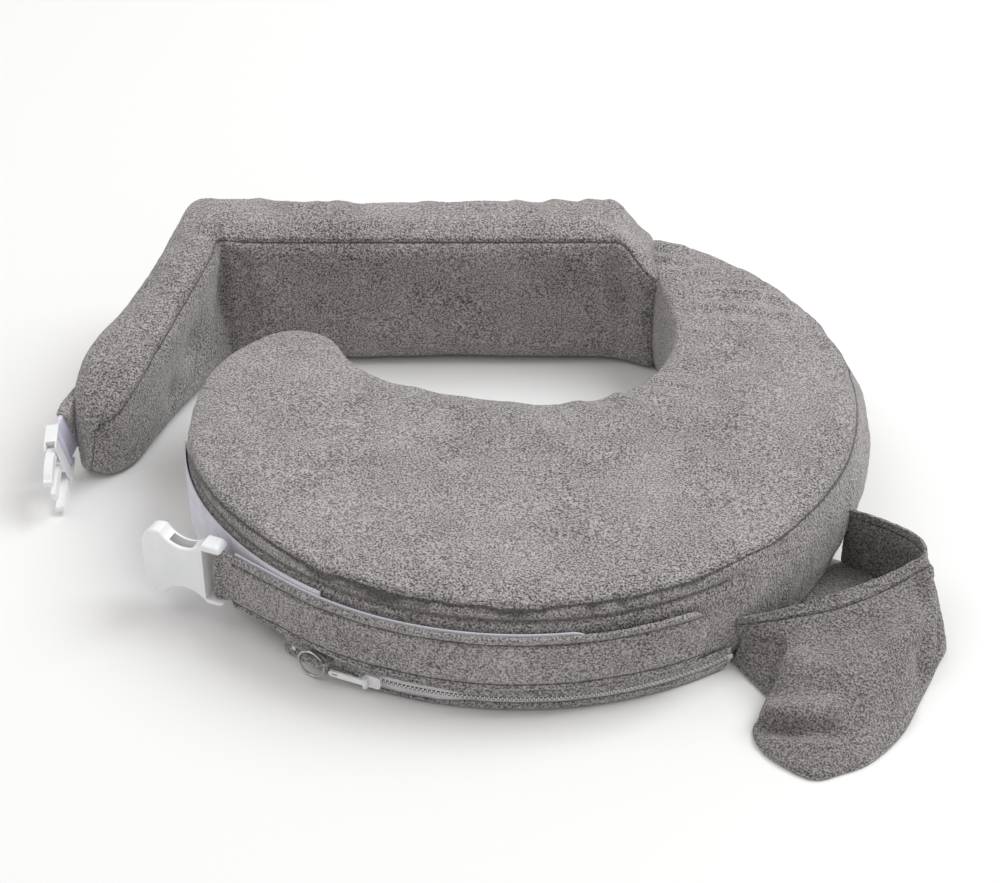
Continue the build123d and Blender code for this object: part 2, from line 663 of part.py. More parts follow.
# ---- Buckle plug on the rear strap, with two sprung release arms ----
ARM_X = PLUG_BODY_END - ARM_NOTCH / 2
with BuildPart() as buckle_plug:
    with BuildSketch(plug_half):
        with Locations(((PLUG_BODY_END - CHEEK_REACH) / 2, 0)):
            RectangleRounded(PLUG_BODY_END + CHEEK_REACH, PLUG_BODY_W, CHEEK_REACH / 2)
    extrude(amount=PLUG_T / 2, both=True)
    with BuildSketch(plug_half):
        with Locations(((BAR_WINDOW - 2 * CHEEK_REACH) / 2, 0)):
            Rectangle(BAR_WINDOW + 2 * CHEEK_REACH, 2 * CHEEK_IN)
    extrude(amount=PLUG_T, both=True, mode=Mode.SUBTRACT)
    with BuildSketch(cross_plane(plug_half, 0, 0, 0)):
        Circle(BAR_R)
    extrude(amount=CHEEK_IN + BAR_SINK, both=True)
    with BuildSketch(plug_half):
        with Locations(((PLUG_L + PLUG_BODY_END) / 2 - SIDE_GAP, 0)):
            RectangleRounded(PLUG_L - PLUG_BODY_END, GUIDE_W, GUIDE_W / 4)
    extrude(amount=GUIDE_T / 2, both=True)
    with BuildSketch(plug_half):
        for side in (1, -1):
            with Locations((ARM_X + ARM_NOTCH, side * ARM_OUT)):
                Rectangle(3 * ARM_NOTCH, PLUG_BODY_W - 2 * ARM_OUT + ARM_NOTCH)
    extrude(amount=ARM_T / 2 + SIDE_GAP, both=True, mode=Mode.SUBTRACT)
    with BuildSketch(plug_half):
        for side in (1, -1):
            with Locations((ARM_X, side * ARM_OUT)):
                Circle(ARM_PIN_R + PIN_GAP)
    extrude(amount=PLUG_T, both=True, mode=Mode.SUBTRACT)
finish(buckle_plug.part, "buckle_plug")

for side, name in ((1, "release_arm_upper"), (-1, "release_arm_lower")):
    with BuildPart() as release_arm:
        with BuildSketch(plug_half):
            with BuildLine():
                inner_edge = side * (ARM_OUT - ARM_W / 2)
                outer_edge = side * (ARM_OUT + ARM_W / 2)
                bulge_x = (ARM_X + PLUG_L) / 2
                Line((ARM_X, outer_edge), (ARM_X, inner_edge))
                Line((ARM_X, inner_edge), (PLUG_L - ARM_W, inner_edge))
                nose = ThreePointArc(
                    (PLUG_L - ARM_W, inner_edge), (PLUG_L, side * ARM_OUT), (PLUG_L - ARM_W, outer_edge)
                )
                ThreePointArc(nose @ 1, (bulge_x, outer_edge + side * ARM_BULGE), (ARM_X, outer_edge))
            make_face()
            with Locations((ARM_X, side * ARM_OUT)):
                Circle(ARM_W / 2)
        extrude(amount=ARM_T / 2, both=True)
        with BuildSketch(plug_half):
            with Locations((ARM_X, side * ARM_OUT)):
                Circle(ARM_PIN_R)
        extrude(amount=PLUG_T / 2, both=True)
    finish(release_arm.part, name)


# ---- Pocket: an open bag hung on the wall, whose front spreads out over the table ----
POCKET_RIGHT = POCKET_LEFT + degrees(POCKET_W / RING_R)


def pocket_face(front_left, front_middle, front_right, inset):
    """A pocket section from three front points, closed along the wall, then shrunk."""
    with BuildSketch() as section:
        with BuildLine():
            wall = CenterArc(at(0, 0), RING_R, POCKET_LEFT, POCKET_RIGHT - POCKET_LEFT)
            left = Line(wall @ 0, front_left)
            front = ThreePointArc(left @ 1, front_middle, front_right)
            Line(front @ 1, wall @ 1)
        make_face()
        if inset:
            offset(amount=-inset, kind=Kind.INTERSECTION)
    return section.sketch




def off_wall(along, away):
    """A plan point a distance along the wall from the pocket's left edge, and away from the wall."""
    return ring(POCKET_LEFT + degrees(along / RING_R), RING_R + away)


mouth_points = (off_wall(-9.4, 14), off_wall(80.1, 62), off_wall(131.9, 78))
foot_points = (off_wall(-28.3, 64), off_wall(-9.4, 133), off_wall(99.0, 104))
anchor = ring(POCKET_LEFT, RING_R)
across = (ring(POCKET_RIGHT, RING_R)[0] - anchor[0], ring(POCKET_RIGHT, RING_R)[1] - anchor[1])
POCKET_RISE = (POCKET_RIGHT_Z - POCKET_LEFT_Z) / (across[0] ** 2 + across[1] ** 2)
mouth_plane = Plane(
    origin=(anchor[0], anchor[1], POCKET_LEFT_Z),
    x_dir=(across[1], -across[0], 0),
    z_dir=(-across[0] * POCKET_RISE, -across[1] * POCKET_RISE, 1),
)


def pocket_block(inset):
    """The pocket's outer shape, or its inside when it is shrunk by an inset."""
    with BuildPart() as block:
        with BuildSketch():
            add(pocket_face(*foot_points, 2 * inset))
        with BuildSketch(Plane.XY.offset(POCKET_RIGHT_Z + POCKET_T)):
            add(pocket_face(*mouth_points, inset))
        loft(ruled=True)
        if inset:
            split(bisect_by=Plane.XY.offset(inset), keep=Keep.TOP)
    return block.part


with BuildPart() as pocket_bag:
    add(pocket_block(0))
    add(pocket_block(POCKET_T), mode=Mode.SUBTRACT)
    split(bisect_by=mouth_plane, keep=Keep.BOTTOM)

with BuildPart() as pocket_hem:
    add(pocket_bag)
    split(bisect_by=mouth_plane.offset(-POCKET_HEM), keep=Keep.TOP)
finish(pocket_hem.part, "pocket_hem")

with BuildPart() as pocket_panel:
    add(pocket_bag)
    split(bisect_by=mouth_plane.offset(-POCKET_HEM), keep=Keep.BOTTOM)
    split(bisect_by=Plane.XY.offset(POCKET_T), keep=Keep.TOP)
finish(pocket_panel.part, "pocket_panel")

with BuildPart() as pocket_bottom:
    add(pocket_bag)
    split(bisect_by=Plane.XY.offset(POCKET_T), keep=Keep.BOTTOM)
finish(pocket_bottom.part, "pocket_bottom")
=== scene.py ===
import math

import bmesh
import bpy
import numpy as np
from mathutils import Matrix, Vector, kdtree, noise
from mathutils.geometry import tessellate_polygon


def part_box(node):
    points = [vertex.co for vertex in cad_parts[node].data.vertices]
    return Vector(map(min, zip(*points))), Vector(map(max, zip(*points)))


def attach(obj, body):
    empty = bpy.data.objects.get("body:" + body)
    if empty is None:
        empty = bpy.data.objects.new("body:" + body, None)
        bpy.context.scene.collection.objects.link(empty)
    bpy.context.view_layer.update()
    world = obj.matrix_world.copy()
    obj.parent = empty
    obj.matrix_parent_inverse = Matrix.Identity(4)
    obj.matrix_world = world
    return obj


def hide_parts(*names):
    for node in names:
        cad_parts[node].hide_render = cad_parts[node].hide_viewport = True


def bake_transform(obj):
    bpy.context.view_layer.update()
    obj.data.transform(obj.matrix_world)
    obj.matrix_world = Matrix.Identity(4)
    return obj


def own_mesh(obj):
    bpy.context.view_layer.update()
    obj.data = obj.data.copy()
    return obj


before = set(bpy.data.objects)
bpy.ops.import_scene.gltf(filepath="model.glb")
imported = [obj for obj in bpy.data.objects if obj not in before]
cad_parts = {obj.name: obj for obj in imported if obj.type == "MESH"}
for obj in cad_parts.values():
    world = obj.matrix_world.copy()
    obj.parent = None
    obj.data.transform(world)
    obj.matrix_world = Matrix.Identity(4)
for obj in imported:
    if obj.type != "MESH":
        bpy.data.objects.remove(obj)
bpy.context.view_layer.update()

# Places of the frame, in metres
RING = np.array([0.02713, 0.04712])  # centre of the crescent's round wall
RING_R = 0.270
WELT_R = 0.003
NECK = np.array(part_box("neck_fold_welt")[0].xy) + WELT_R
CORNER = np.array(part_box("wing_fold_welt")[0].xy) + WELT_R
WING_HEADING = math.radians(-107.6)
WING_DIR = np.array([math.cos(WING_HEADING), math.sin(WING_HEADING)])
WING_OUT = np.array([WING_DIR[1], -WING_DIR[0]])
BACK_T = 0.072
WING_T = 0.054
WING_L = 0.248
BACK_H = 0.130
PILLOW_H = 0.095
BACK_L = 0.404
WING_END_H = 0.082
WING_TIP_H = 0.060
WING_TIP_RUN = 0.036
WING_LEAN = 0.016
TOP_SEAM_R = 0.2655
STITCH_ZERO = 5.0  # keeps the stitch number of unsewn pieces, 0, away from the seam
FAR_FROM_SEAM = 0.02
CAP_RINGS = 12
BACK_AROUND = 112  # points round a section of the backrest's cover
COVER_GAP = 0.0022  # from the foam out to the cover's surface


# ---- Mesh helpers ----
def new_object(name, verts, faces, smooth=True):
    """A mesh object from vertex and face lists, linked into the scene."""
    mesh = bpy.data.meshes.new(name)
    mesh.from_pydata([tuple(v) for v in verts], [], [tuple(f) for f in faces])
    mesh.validate()
    if smooth:
        mesh.shade_smooth()
    obj = bpy.data.objects.new(name, mesh)
    bpy.context.scene.collection.objects.link(obj)
    return obj


def coords(obj):
    """Vertex places as an array."""
    flat = np.zeros(len(obj.data.vertices) * 3, np.float32)
    obj.data.vertices.foreach_get("co", flat)
    return flat.reshape(-1, 3).astype(float)


def set_coords(obj, places):
    """Writes vertex places back."""
    obj.data.vertices.foreach_set("co", places.astype(np.float32).ravel())
    obj.data.update()


def normals(obj):
    """Vertex normals as an array."""
    flat = np.zeros(len(obj.data.vertices) * 3, np.float32)
    obj.data.vertex_normals.foreach_get("vector", flat)
    return flat.reshape(-1, 3).astype(float)


def apply_modifiers(obj):
    """Turns the object's modifiers into its mesh."""
    graph = bpy.context.evaluated_depsgraph_get()
    mesh = bpy.data.meshes.new_from_object(obj.evaluated_get(graph))
    obj.modifiers.clear()
    obj.data = mesh
    mesh.shade_smooth()
    return obj


def modified(obj, kind, **settings):
    """Adds one modifier with its settings, and applies it."""
    modifier = obj.modifiers.new(kind, kind)
    for key, value in settings.items():
        setattr(modifier, key, value)
    return apply_modifiers(obj)


def subdivided(obj):
    """One level of subdivision, applied."""
    return modified(obj, "SUBSURF", levels=1, render_levels=1)


def above(obj, lowest=0.0):
    """Keeps every vertex at or above a height."""
    places = coords(obj)
    places[:, 2] = np.maximum(places[:, 2], lowest)
    set_coords(obj, places)


def copy_node(name, node):
    """One new object that holds a welded copy of a CAD node."""
    joined = bmesh.new()
    joined.from_mesh(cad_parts[node].data)
    bmesh.ops.remove_doubles(joined, verts=joined.verts, dist=1e-5)
    mesh = bpy.data.meshes.new(name)
    joined.to_mesh(mesh)
    joined.free()
    obj = bpy.data.objects.new(name, mesh)
    bpy.context.scene.collection.objects.link(obj)
    return obj


def curve_through(points, count, closed=False):
    """Points evenly spaced along a smooth curve through the given ones."""
    p = np.array(points, float)
    if closed:
        p = np.vstack([p[-1], p, p[0], p[1]])
    else:
        p = np.vstack([2 * p[0] - p[1], p, 2 * p[-1] - p[-2]])
    out = []
    for i in range(1, len(p) - 2):
        for t in np.linspace(0, 1, 24, endpoint=False):
            a, b, c, d = p[i - 1], p[i], p[i + 1], p[i + 2]
            square = (2 * a - 5 * b + 4 * c - d) * t**2
            cube = (3 * b - a - 3 * c + d) * t**3
            out.append(0.5 * (2 * b + (c - a) * t + square + cube))
    out.append(p[-2])
    return even(np.array(out), count)


def run_along(path):
    """How far along the path each of its points is."""
    return np.concatenate([[0], np.cumsum(np.linalg.norm(np.diff(path, axis=0), axis=1))])


def eased(share):
    """A share from 0 to 1, made to start and stop softly."""
    return share * share * (3 - 2 * share)


def even(path, count):
    """The path again, with evenly spaced points."""
    run = run_along(path)
    want = np.linspace(0, run[-1], count)
    return np.stack([np.interp(want, run, path[:, k]) for k in range(path.shape[1])], axis=1)


def on_ring(degrees, radius, z=None):
    """A point about the ring centre; with z it has three numbers."""
    a = math.radians(degrees)
    p = [RING[0] + radius * math.cos(a), RING[1] + radius * math.sin(a)]
    return np.array(p if z is None else p + [z])


def outward(degrees):
    """The direction from the ring centre, in three numbers."""
    return (math.cos(math.radians(degrees)), math.sin(math.radians(degrees)), 0.0)


def grid_faces(rows, cols, wrap_rows=False, wrap_cols=False):
    """Quads of a grid of vertices, row by row."""
    faces = []
    for i in range(rows if wrap_rows else rows - 1):
        for j in range(cols if wrap_cols else cols - 1):
            a = i * cols + j
            b = i * cols + (j + 1) % cols
            c = ((i + 1) % rows) * cols + (j + 1) % cols
            d = ((i + 1) % rows) * cols + j
            faces.append((a, b, c, d))
    return faces


def tube(name, sections, cap_rings=0, dome=(0.0, 0.0)):
    """A closed form lofted through closed sections, each end filled by shrinking, domed rings."""
    rows = [np.array(s, float) for s in sections]
    ends = ((rows[0], rows[3], -1, dome[0]), (rows[-1], rows[-4], 1, dome[1]))
    for rim, before, side, swell in ends if cap_rings else ():
        centre = rim.mean(axis=0)
        way = centre - before.mean(axis=0)
        way /= np.linalg.norm(way)
        shares = [k / cap_rings for k in range(1, cap_rings)]
        bulge = way * swell
        rings = [centre + (rim - centre) * (1 - t) + bulge * math.sqrt(1 - (1 - t) ** 2) for t in shares]
        rows = rings[::-1] + rows if side < 0 else rows + rings
    count, width = len(rows), len(rows[0])
    verts = np.vstack(rows)
    faces = grid_faces(count, width, wrap_cols=True)
    faces = [f[::-1] for f in faces]
    first, last = verts[:width].mean(axis=0), verts[-width:].mean(axis=0)
    verts = np.vstack([verts, first, last])
    total = count * width
    for j in range(width):
        k = (j + 1) % width
        faces.append((total, j, k))
        faces.append((total + 1, total - width + k, total - width + j))
    obj = new_object(name, verts, faces)
    fixed = bmesh.new()
    fixed.from_mesh(obj.data)
    bmesh.ops.recalc_face_normals(fixed, faces=fixed.faces)
    fixed.to_mesh(obj.data)
    fixed.free()
    obj.data.shade_smooth()
    return obj


def wave(places, scale, seed):
    """Smooth noise from -1 to 1 at each place; scale is the bumps' size in metres."""
    shift = Vector((seed * 7.31, seed * 3.77, seed * 1.93))
    return np.array([noise.noise(Vector(p) / scale + shift) for p in places])


def near(places, line):
    """Distance of each place to a densely sampled line, and how far along it, 0 to 1."""
    tree = kdtree.KDTree(len(line))
    for i, p in enumerate(line):
        tree.insert(Vector(p), i)
    tree.balance()
    found = [tree.find(Vector(p)) for p in places]
    return np.array([f[2] for f in found]), np.array([f[1] for f in found]) / max(1, len(line) - 1)


def fold(places, out, points, height, width, fade=0.18):
    """A soft ridge (or, with a negative height, a furrow) along a smooth line."""
    line = curve_through(points, 140)
    away, along = near(places, line)
    ends = eased(np.clip(np.minimum(along, 1 - along) / fade, 0, 1))
    lift = height * np.exp(-((away / width) ** 2)) * ends
    trough = -0.45 * height * np.exp(-(((away - 1.9 * width) / width) ** 2)) * ends
    return out * (lift + trough)[:, None]


def inflate(obj, cap, pressure=4.0, frames=20):
    """Cloth pressure swells the piece; no point moves further than the cap."""
    rest = coords(obj)
    cloth = obj.modifiers.new("Cloth", "CLOTH")
    cloth.settings.use_pressure = True
    cloth.settings.uniform_pressure_force = pressure
    cloth.settings.effector_weights.gravity = 0
    cloth.settings.quality = 4
    for number in range(1, frames + 1):
        bpy.context.scene.frame_set(number)
    graph = bpy.context.evaluated_depsgraph_get()
    flat = np.zeros(len(rest) * 3, np.float32)
    obj.evaluated_get(graph).data.vertices.foreach_get("co", flat)
    move = flat.reshape(-1, 3).astype(float) - rest
    length = np.linalg.norm(move, axis=1)
    share = cap * np.tanh(length / cap) / np.maximum(length, 1e-9)
    obj.modifiers.remove(cloth)
    set_coords(obj, rest + move * share[:, None])
    bpy.context.scene.frame_set(1)
    return obj


def nap(obj, seed, height=0.00035, size=0.0042):
    """The loops' uneven surface, which also breaks the silhouette."""
    places = coords(obj)
    lift = height * (wave(places, size, seed) + 0.7 * wave(places, size * 0.5, seed + 3))
    set_coords(obj, places + normals(obj) * lift[:, None])
    return obj


def mark(obj, name, values):
    """A number per vertex that the materials read."""
    attribute = obj.data.attributes.get(name) or obj.data.attributes.new(name, "FLOAT", "POINT")
    attribute.data.foreach_set("value", np.asarray(values, np.float32))


def sewn(obj, distance):
    """Signed distance to the sewn line in metres, which the terry reads as STITCH_ZERO plus millimetres."""
    mark(obj, "stitch", STITCH_ZERO + 1000 * np.clip(distance, -0.004, 0.02))


# ---- Materials ----
class Nodes:
    """Short calls for a material's node tree."""

    def __init__(self, name):
        self.material = bpy.data.materials.new(name)
        self.material.use_nodes = True
        self.tree = self.material.node_tree
        self.shader = self.tree.nodes["Principled BSDF"]
        self.place = self.add("ShaderNodeTexCoord").outputs["Object"]

    def add(self, kind, **settings):
        node = self.tree.nodes.new(kind)
        for key, value in settings.items():
            setattr(node, key, value)
        return node

    def link(self, source, target):
        self.tree.links.new(source, target)

    def put(self, value, socket):
        if isinstance(value, bpy.types.NodeSocket):
            self.link(value, socket)
        else:
            socket.default_value = value

    def math(self, operation, a, b=0.0, c=0.0):
        node = self.add("ShaderNodeMath", operation=operation)
        for value, socket in zip((a, b, c), node.inputs):
            self.put(value, socket)
        return node.outputs[0]

    def noise(self, scale, detail=3.0, rough=0.55, place=None):
        node = self.add("ShaderNodeTexNoise")
        self.link(place or self.place, node.inputs["Vector"])
        node.inputs["Scale"].default_value = scale
        node.inputs["Detail"].default_value = detail
        node.inputs["Roughness"].default_value = rough
        return node.outputs["Fac"]

    def cells(self, scale, place=None):
        node = self.add("ShaderNodeTexVoronoi")
        self.link(place or self.place, node.inputs["Vector"])
        node.inputs["Scale"].default_value = scale
        return node.outputs["Distance"]

    def span(self, value, low, high, to_low=0.0, to_high=1.0):
        node = self.add("ShaderNodeMapRange")
        self.link(value, node.inputs["Value"])
        limits = {"From Min": low, "From Max": high, "To Min": to_low, "To Max": to_high}
        for key, number in limits.items():
            node.inputs[key].default_value = number
        return node.outputs["Result"]

    def mix(self, factor, a, b, blend="MIX"):
        node = self.add("ShaderNodeMix", data_type="RGBA", blend_type=blend)
        self.put(factor, node.inputs[0])
        for value, socket in ((a, node.inputs[6]), (b, node.inputs[7])):
            self.put(value if isinstance(value, bpy.types.NodeSocket) else (*value, 1.0), socket)
        return node.outputs[2]

    def bump(self, height, strength, distance, before=None):
        node = self.add("ShaderNodeBump")
        self.put(height, node.inputs["Height"])
        node.inputs["Strength"].default_value = strength
        node.inputs["Distance"].default_value = distance
        if before is not None:
            self.link(before, node.inputs["Normal"])
        return node.outputs["Normal"]

    def attribute(self, name):
        return self.add("ShaderNodeAttribute", attribute_name=name).outputs["Fac"]

    def finish(self, colour, roughness, normal=None, **fixed):
        self.put(colour, self.shader.inputs["Base Color"])
        self.put(roughness, self.shader.inputs["Roughness"])
        if normal is not None:
            self.link(normal, self.shader.inputs["Normal"])
        for key, value in fixed.items():
            self.shader.inputs[key.replace("_", " ")].default_value = value
        return self.material


def terry():
    """Short-looped terry: speckled loops, soft lying streaks, sheen and sewn seams, with painted shade along
    the seams and painted shade over pieces marked darker.
    """
    n = Nodes("terry")
    loops = n.noise(680, 1.0, 0.55)
    grains = n.cells(620)
    tufts = n.noise(210, 2.0, 0.6)
    streaks = n.noise(40, 4.0, 0.6)
    clouds = n.noise(14, 3.0, 0.5)
    away = n.math("ABSOLUTE", n.math("SUBTRACT", n.attribute("stitch"), STITCH_ZERO))
    tone = n.math("ADD", n.span(loops, 0.36, 0.64, 0.0, 0.68), n.span(tufts, 0.3, 0.7, 0.0, 0.08))
    tone = n.math("ADD", tone, n.span(streaks, 0.30, 0.70, 0.0, 0.10))
    tone = n.math("ADD", tone, n.span(clouds, 0.30, 0.70, 0.0, 0.14))
    colour = n.mix(tone, (0.026, 0.024, 0.024), (0.585, 0.552, 0.545))
    # painted shade: pieces with this mark are darkened towards near black, standing in for the shade their
    # faces lie in
    colour = n.mix(n.attribute("painted_shade"), colour, (0.045, 0.040, 0.038))
    # painted shade: a dark line along each sewn seam stands in for the shade in its groove
    line = n.span(away, 0.95, 0.35, 0.0, 0.8)
    colour = n.mix(line, colour, (0.040, 0.037, 0.036))
    height = n.math("ADD", loops, n.math("MULTIPLY", tufts, 0.8))
    height = n.math("SUBTRACT", height, n.math("MULTIPLY", grains, 0.5))
    fine = n.bump(height, 0.9, 0.0016)
    broad = n.bump(streaks, 0.5, 0.0022, fine)
    channel = n.math("MULTIPLY", n.span(away, 3.0, 0.3), -1.0)
    normal = n.bump(channel, 0.9, 0.0022, broad)
    fixed = {"Sheen_Weight": 0.35, "Sheen_Roughness": 0.45, "Specular_IOR_Level": 0.18}
    return n.finish(colour, n.span(tufts, 0.3, 0.7, 0.86, 1.0), normal, **fixed)


def woven(name, dark, light, ribs, rib_pitch, cross_pitch, sheen=0.2, rough=0.75):
    """Woven tape or panel: ribs run up it (about the ring) or along it, at a pitch in metres."""
    n = Nodes(name)
    split = n.add("ShaderNodeSeparateXYZ")
    n.link(n.place, split.inputs[0])
    x, y, z = split.outputs
    if ribs == "up":
        from_y = n.math("SUBTRACT", y, float(RING[1]))
        from_x = n.math("SUBTRACT", x, float(RING[0]))
        turn = n.math("ARCTAN2", from_y, from_x)
        across = n.math("MULTIPLY", turn, RING_R)
        along = z
    else:
        across = z
        along = n.math("SUBTRACT", x, y)
    rib = n.math("SINE", n.math("MULTIPLY", across, 2 * math.pi / rib_pitch))
    weft = n.math("SINE", n.math("MULTIPLY", along, 2 * math.pi / cross_pitch))
    fuzz = n.noise(900, 3.0)
    patch = n.noise(60, 2.0)
    height = n.math("ADD", n.math("MULTIPLY", rib, 0.5), n.math("MULTIPLY", weft, 0.25))
    height = n.math("ADD", height, n.math("MULTIPLY", fuzz, 0.6))
    tone = n.math("ADD", n.span(rib, -1, 1, 0.0, 0.5), n.span(patch, 0.3, 0.7, 0.0, 0.5))
    colour = n.mix(tone, dark, light)
    roughness = n.span(fuzz, 0.3, 0.7, rough, min(1.0, rough + 0.2))
    return n.finish(colour, roughness, n.bump(height, 0.6, 0.0005), Sheen_Weight=sheen)


def hooks():
    """Hook tape: a dense field of tiny plastic hooks on a woven back."""
    n = Nodes("hook_tape")
    dots = n.cells(1300)
    fuzz = n.noise(500, 3.0)
    colour = n.mix(n.span(dots, 0.1, 0.7), (0.86, 0.85, 0.90), (0.62, 0.60, 0.68))
    height = n.math("SUBTRACT", n.math("MULTIPLY", fuzz, 0.4), dots)
    return n.finish(colour, n.span(fuzz, 0.3, 0.7, 0.45, 0.7), n.bump(height, 0.7, 0.0007), Sheen_Weight=0.1)


def moulded(name, dark, light, rough, grain, strength, **fixed):
    """Moulded plastic or cast metal with faint flow marks and a fine grain."""
    n = Nodes(name)
    flow = n.noise(42, 2.0)
    fine = n.noise(grain, 4.0, 0.65)
    colour = n.mix(n.span(flow, 0.3, 0.7), dark, light)
    roughness = n.span(fine, 0.3, 0.7, rough, rough + 0.14)
    return n.finish(colour, roughness, n.bump(fine, strength, 0.0004), **fixed)


def floor_material():
    """Plain pale paper with a barely visible tooth."""
    n = Nodes("floor")
    tooth = n.noise(900, 2.0)
    colour = n.mix(n.span(tooth, 0.3, 0.7), (0.865, 0.865, 0.865), (0.875, 0.875, 0.874))
    return n.finish(colour, 0.9, n.bump(tooth, 0.05, 0.0002), Specular_IOR_Level=0.1)


TERRY = terry()
LOOP = woven("woven_loop", (0.60, 0.58, 0.68), (0.86, 0.85, 0.91), "up", 0.0024, 0.0016)
TAPE = woven("zipper_tape", (0.62, 0.61, 0.65), (0.86, 0.85, 0.87), "along", 0.0011, 0.0014)
WEB = woven("webbing", (0.52, 0.50, 0.66), (0.78, 0.76, 0.88), "along", 0.0026, 0.0018)
HOOK = hooks()
THREAD = woven("thread", (0.10, 0.095, 0.09), (0.22, 0.21, 0.20), "along", 0.0006, 0.0008)
PALE_THREAD = woven("pale_thread", (0.62, 0.61, 0.68), (0.86, 0.85, 0.9), "along", 0.0006, 0.0008)
SHELL = {"Subsurface_Weight": 0.08, "Coat_Weight": 0.15}
BUCKLE = moulded("buckle", (0.83, 0.83, 0.85), (0.90, 0.90, 0.91), 0.24, 1500, 0.10, **SHELL)
TEETH = moulded("zipper_teeth", (0.78, 0.78, 0.80), (0.88, 0.88, 0.89), 0.32, 900, 0.12)
SLIDER = moulded("slider_metal", (0.80, 0.80, 0.82), (0.90, 0.90, 0.91), 0.18, 700, 0.14, Coat_Weight=0.4)
STEEL = moulded("ring_steel", (0.50, 0.51, 0.53), (0.66, 0.67, 0.69), 0.12, 600, 0.12, Metallic=1.0)


def dress(obj, material):
    """Gives the object one material."""
    obj.data.materials.clear()
    obj.data.materials.append(material)
    return obj


# ---- Crescent ----
# Drag folds on the round wall: where the foot is, how far the top leans over (degrees), and height
DRAG_FOLDS = (
    (-28, 8, 0.0016), (-14, 7, 0.0014), (4, -6, 0.0013), (20, 6, 0.0014),
    (38, -5, 0.0012), (52, 6, 0.0014), (-44, 6, 0.0012), (-176, 5, 0.0010),
)


def crescent_folds():
    """Folds on the flat top: points, height and width."""
    z = 0.0945
    return [
        ([(0.163, 0.197, z), (0.200, 0.201, z), (0.246, 0.199, z)], 0.0026, 0.0055),
        ([(0.170, 0.184, z), (0.203, 0.187, z), (0.236, 0.180, z), (0.262, 0.164, z)], 0.0030, 0.0055),
        ([(0.166, 0.1625, z), (0.190, 0.162, z), (0.226, 0.156, z), (0.262, 0.139, z)], 0.0028, 0.0055),
        ([(0.172, 0.146, z), (0.200, 0.138, z), (0.236, 0.126, z)], 0.0018, 0.0060),
        ([(0.158, 0.214, z), (0.190, 0.220, z), (0.228, 0.219, z)], 0.0018, 0.0070),
        ([(0.268, 0.133, z), (0.283, 0.100, z), (0.294, 0.064, z)], 0.0020, 0.0065),
        ([(0.126, 0.066, z), (0.150, 0.052, z), (0.178, 0.041, z)], 0.0020, 0.0060),
        ([(0.096, 0.044, z), (0.113, 0.024, z), (0.146, -0.008, z)], 0.0024, 0.0060),
        ([(0.062, 0.036, z), (0.080, 0.014, z), (0.102, -0.014, z)], 0.0014, 0.0070),
        ([(0.012, 0.036, z), (0.042, -0.010, z), (0.080, -0.050, z)], 0.0014, 0.0090),
        ([(-0.060, 0.060, z), (-0.050, 0.010, z), (-0.020, -0.050, z)], 0.0012, 0.0110),
        ([(-0.205, 0.060, z), (-0.200, 0.010, z), (-0.180, -0.040, z)], 0.0013, 0.0110),
    ]


def crescent():
    """The firm crescent in its terry cover, with its sewn top edge and pull folds."""
    obj = copy_node("crescent_cover", "pillow_foam")
    modified(obj, "REMESH", mode="VOXEL", voxel_size=0.004)
    modified(obj, "SMOOTH", factor=0.5, iterations=3)
    inflate(obj, 0.004, pressure=4.0, frames=18)
    subdivided(obj)
    places = coords(obj)
    out = normals(obj)
    # out to the cover's own surface, and a crisper sewn edge at the top
    flat = out.copy()
    flat[:, 2] = 0
    height = places[:, 2]
    rim = np.exp(-(((height - 0.0895) / 0.006) ** 2)) * np.exp(-(((out[:, 2] - 0.6) / 0.4) ** 2))
    places = places + out * COVER_GAP + out * (rim * 0.0026)[:, None]
    # broad unevenness of foam under cloth
    broad = 0.0016 * wave(places, 0.085, 1) + 0.0007 * wave(places, 0.028, 2)
    places = places + out * broad[:, None]
    # the wall bulges between its seams, most on the right where nothing is sewn to it
    wall = (1 - np.abs(out[:, 2])) * np.sin(np.clip(height / PILLOW_H, 0, 1) * math.pi)
    around = np.degrees(np.arctan2(places[:, 1] - RING[1], places[:, 0] - RING[0]))
    free = np.clip((around + 32) / 40, 0, 1) * np.clip((84 - around) / 30, 0, 1)
    from_ring = np.linalg.norm(places[:, :2] - RING, axis=1)
    free = free * (from_ring > RING_R - 0.030)
    places = places + flat * (wall * (0.0014 + 0.0155 * free))[:, None]
    # on the left and front it stays behind the loop panel, the strap and the zipper
    places = behind_trim(places)
    set_coords(obj, places)
    places = coords(obj)
    out = normals(obj)
    for line, high, wide in crescent_folds():
        places = places + fold(places, out, line, high, wide)
    # the neck: cloth gathered where the backrest is joined
    for k in range(5):
        y = NECK[1] - 0.012 - 0.011 * k
        steps = ((0.001, 0.0, 0.093), (0.016, 0.003, 0.095), (0.034, 0.008, 0.095))
        line = [(NECK[0] + right, y - fall, z) for right, fall, z in steps]
        places = places + fold(places, out, line, 0.0016 * (1 if k % 2 else -1), 0.0045)
    # low drag folds on the round wall
    for angle, lean, high in DRAG_FOLDS:
        steps = ((angle, 0.016), (angle + lean / 2, 0.045), (angle + lean, 0.078))
        line = [on_ring(a, RING_R, z) for a, z in steps]
        places = places + fold(places, out, line, high, 0.0065)
    places = behind_trim(places)
    places[:, 2] = np.maximum(places[:, 2], 0.0)
    set_coords(obj, places)
    from_ring = np.linalg.norm(places[:, :2] - RING, axis=1)
    sewn(obj, np.where(places[:, 2] > 0.075, from_ring - TOP_SEAM_R, FAR_FROM_SEAM))
    nap(obj, 5)
    above(obj)
    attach(dress(obj, TERRY), "pillow")
    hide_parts("pillow_foam", "cover_top_panel", "cover_side_band", "cover_bottom_panel")
    return obj


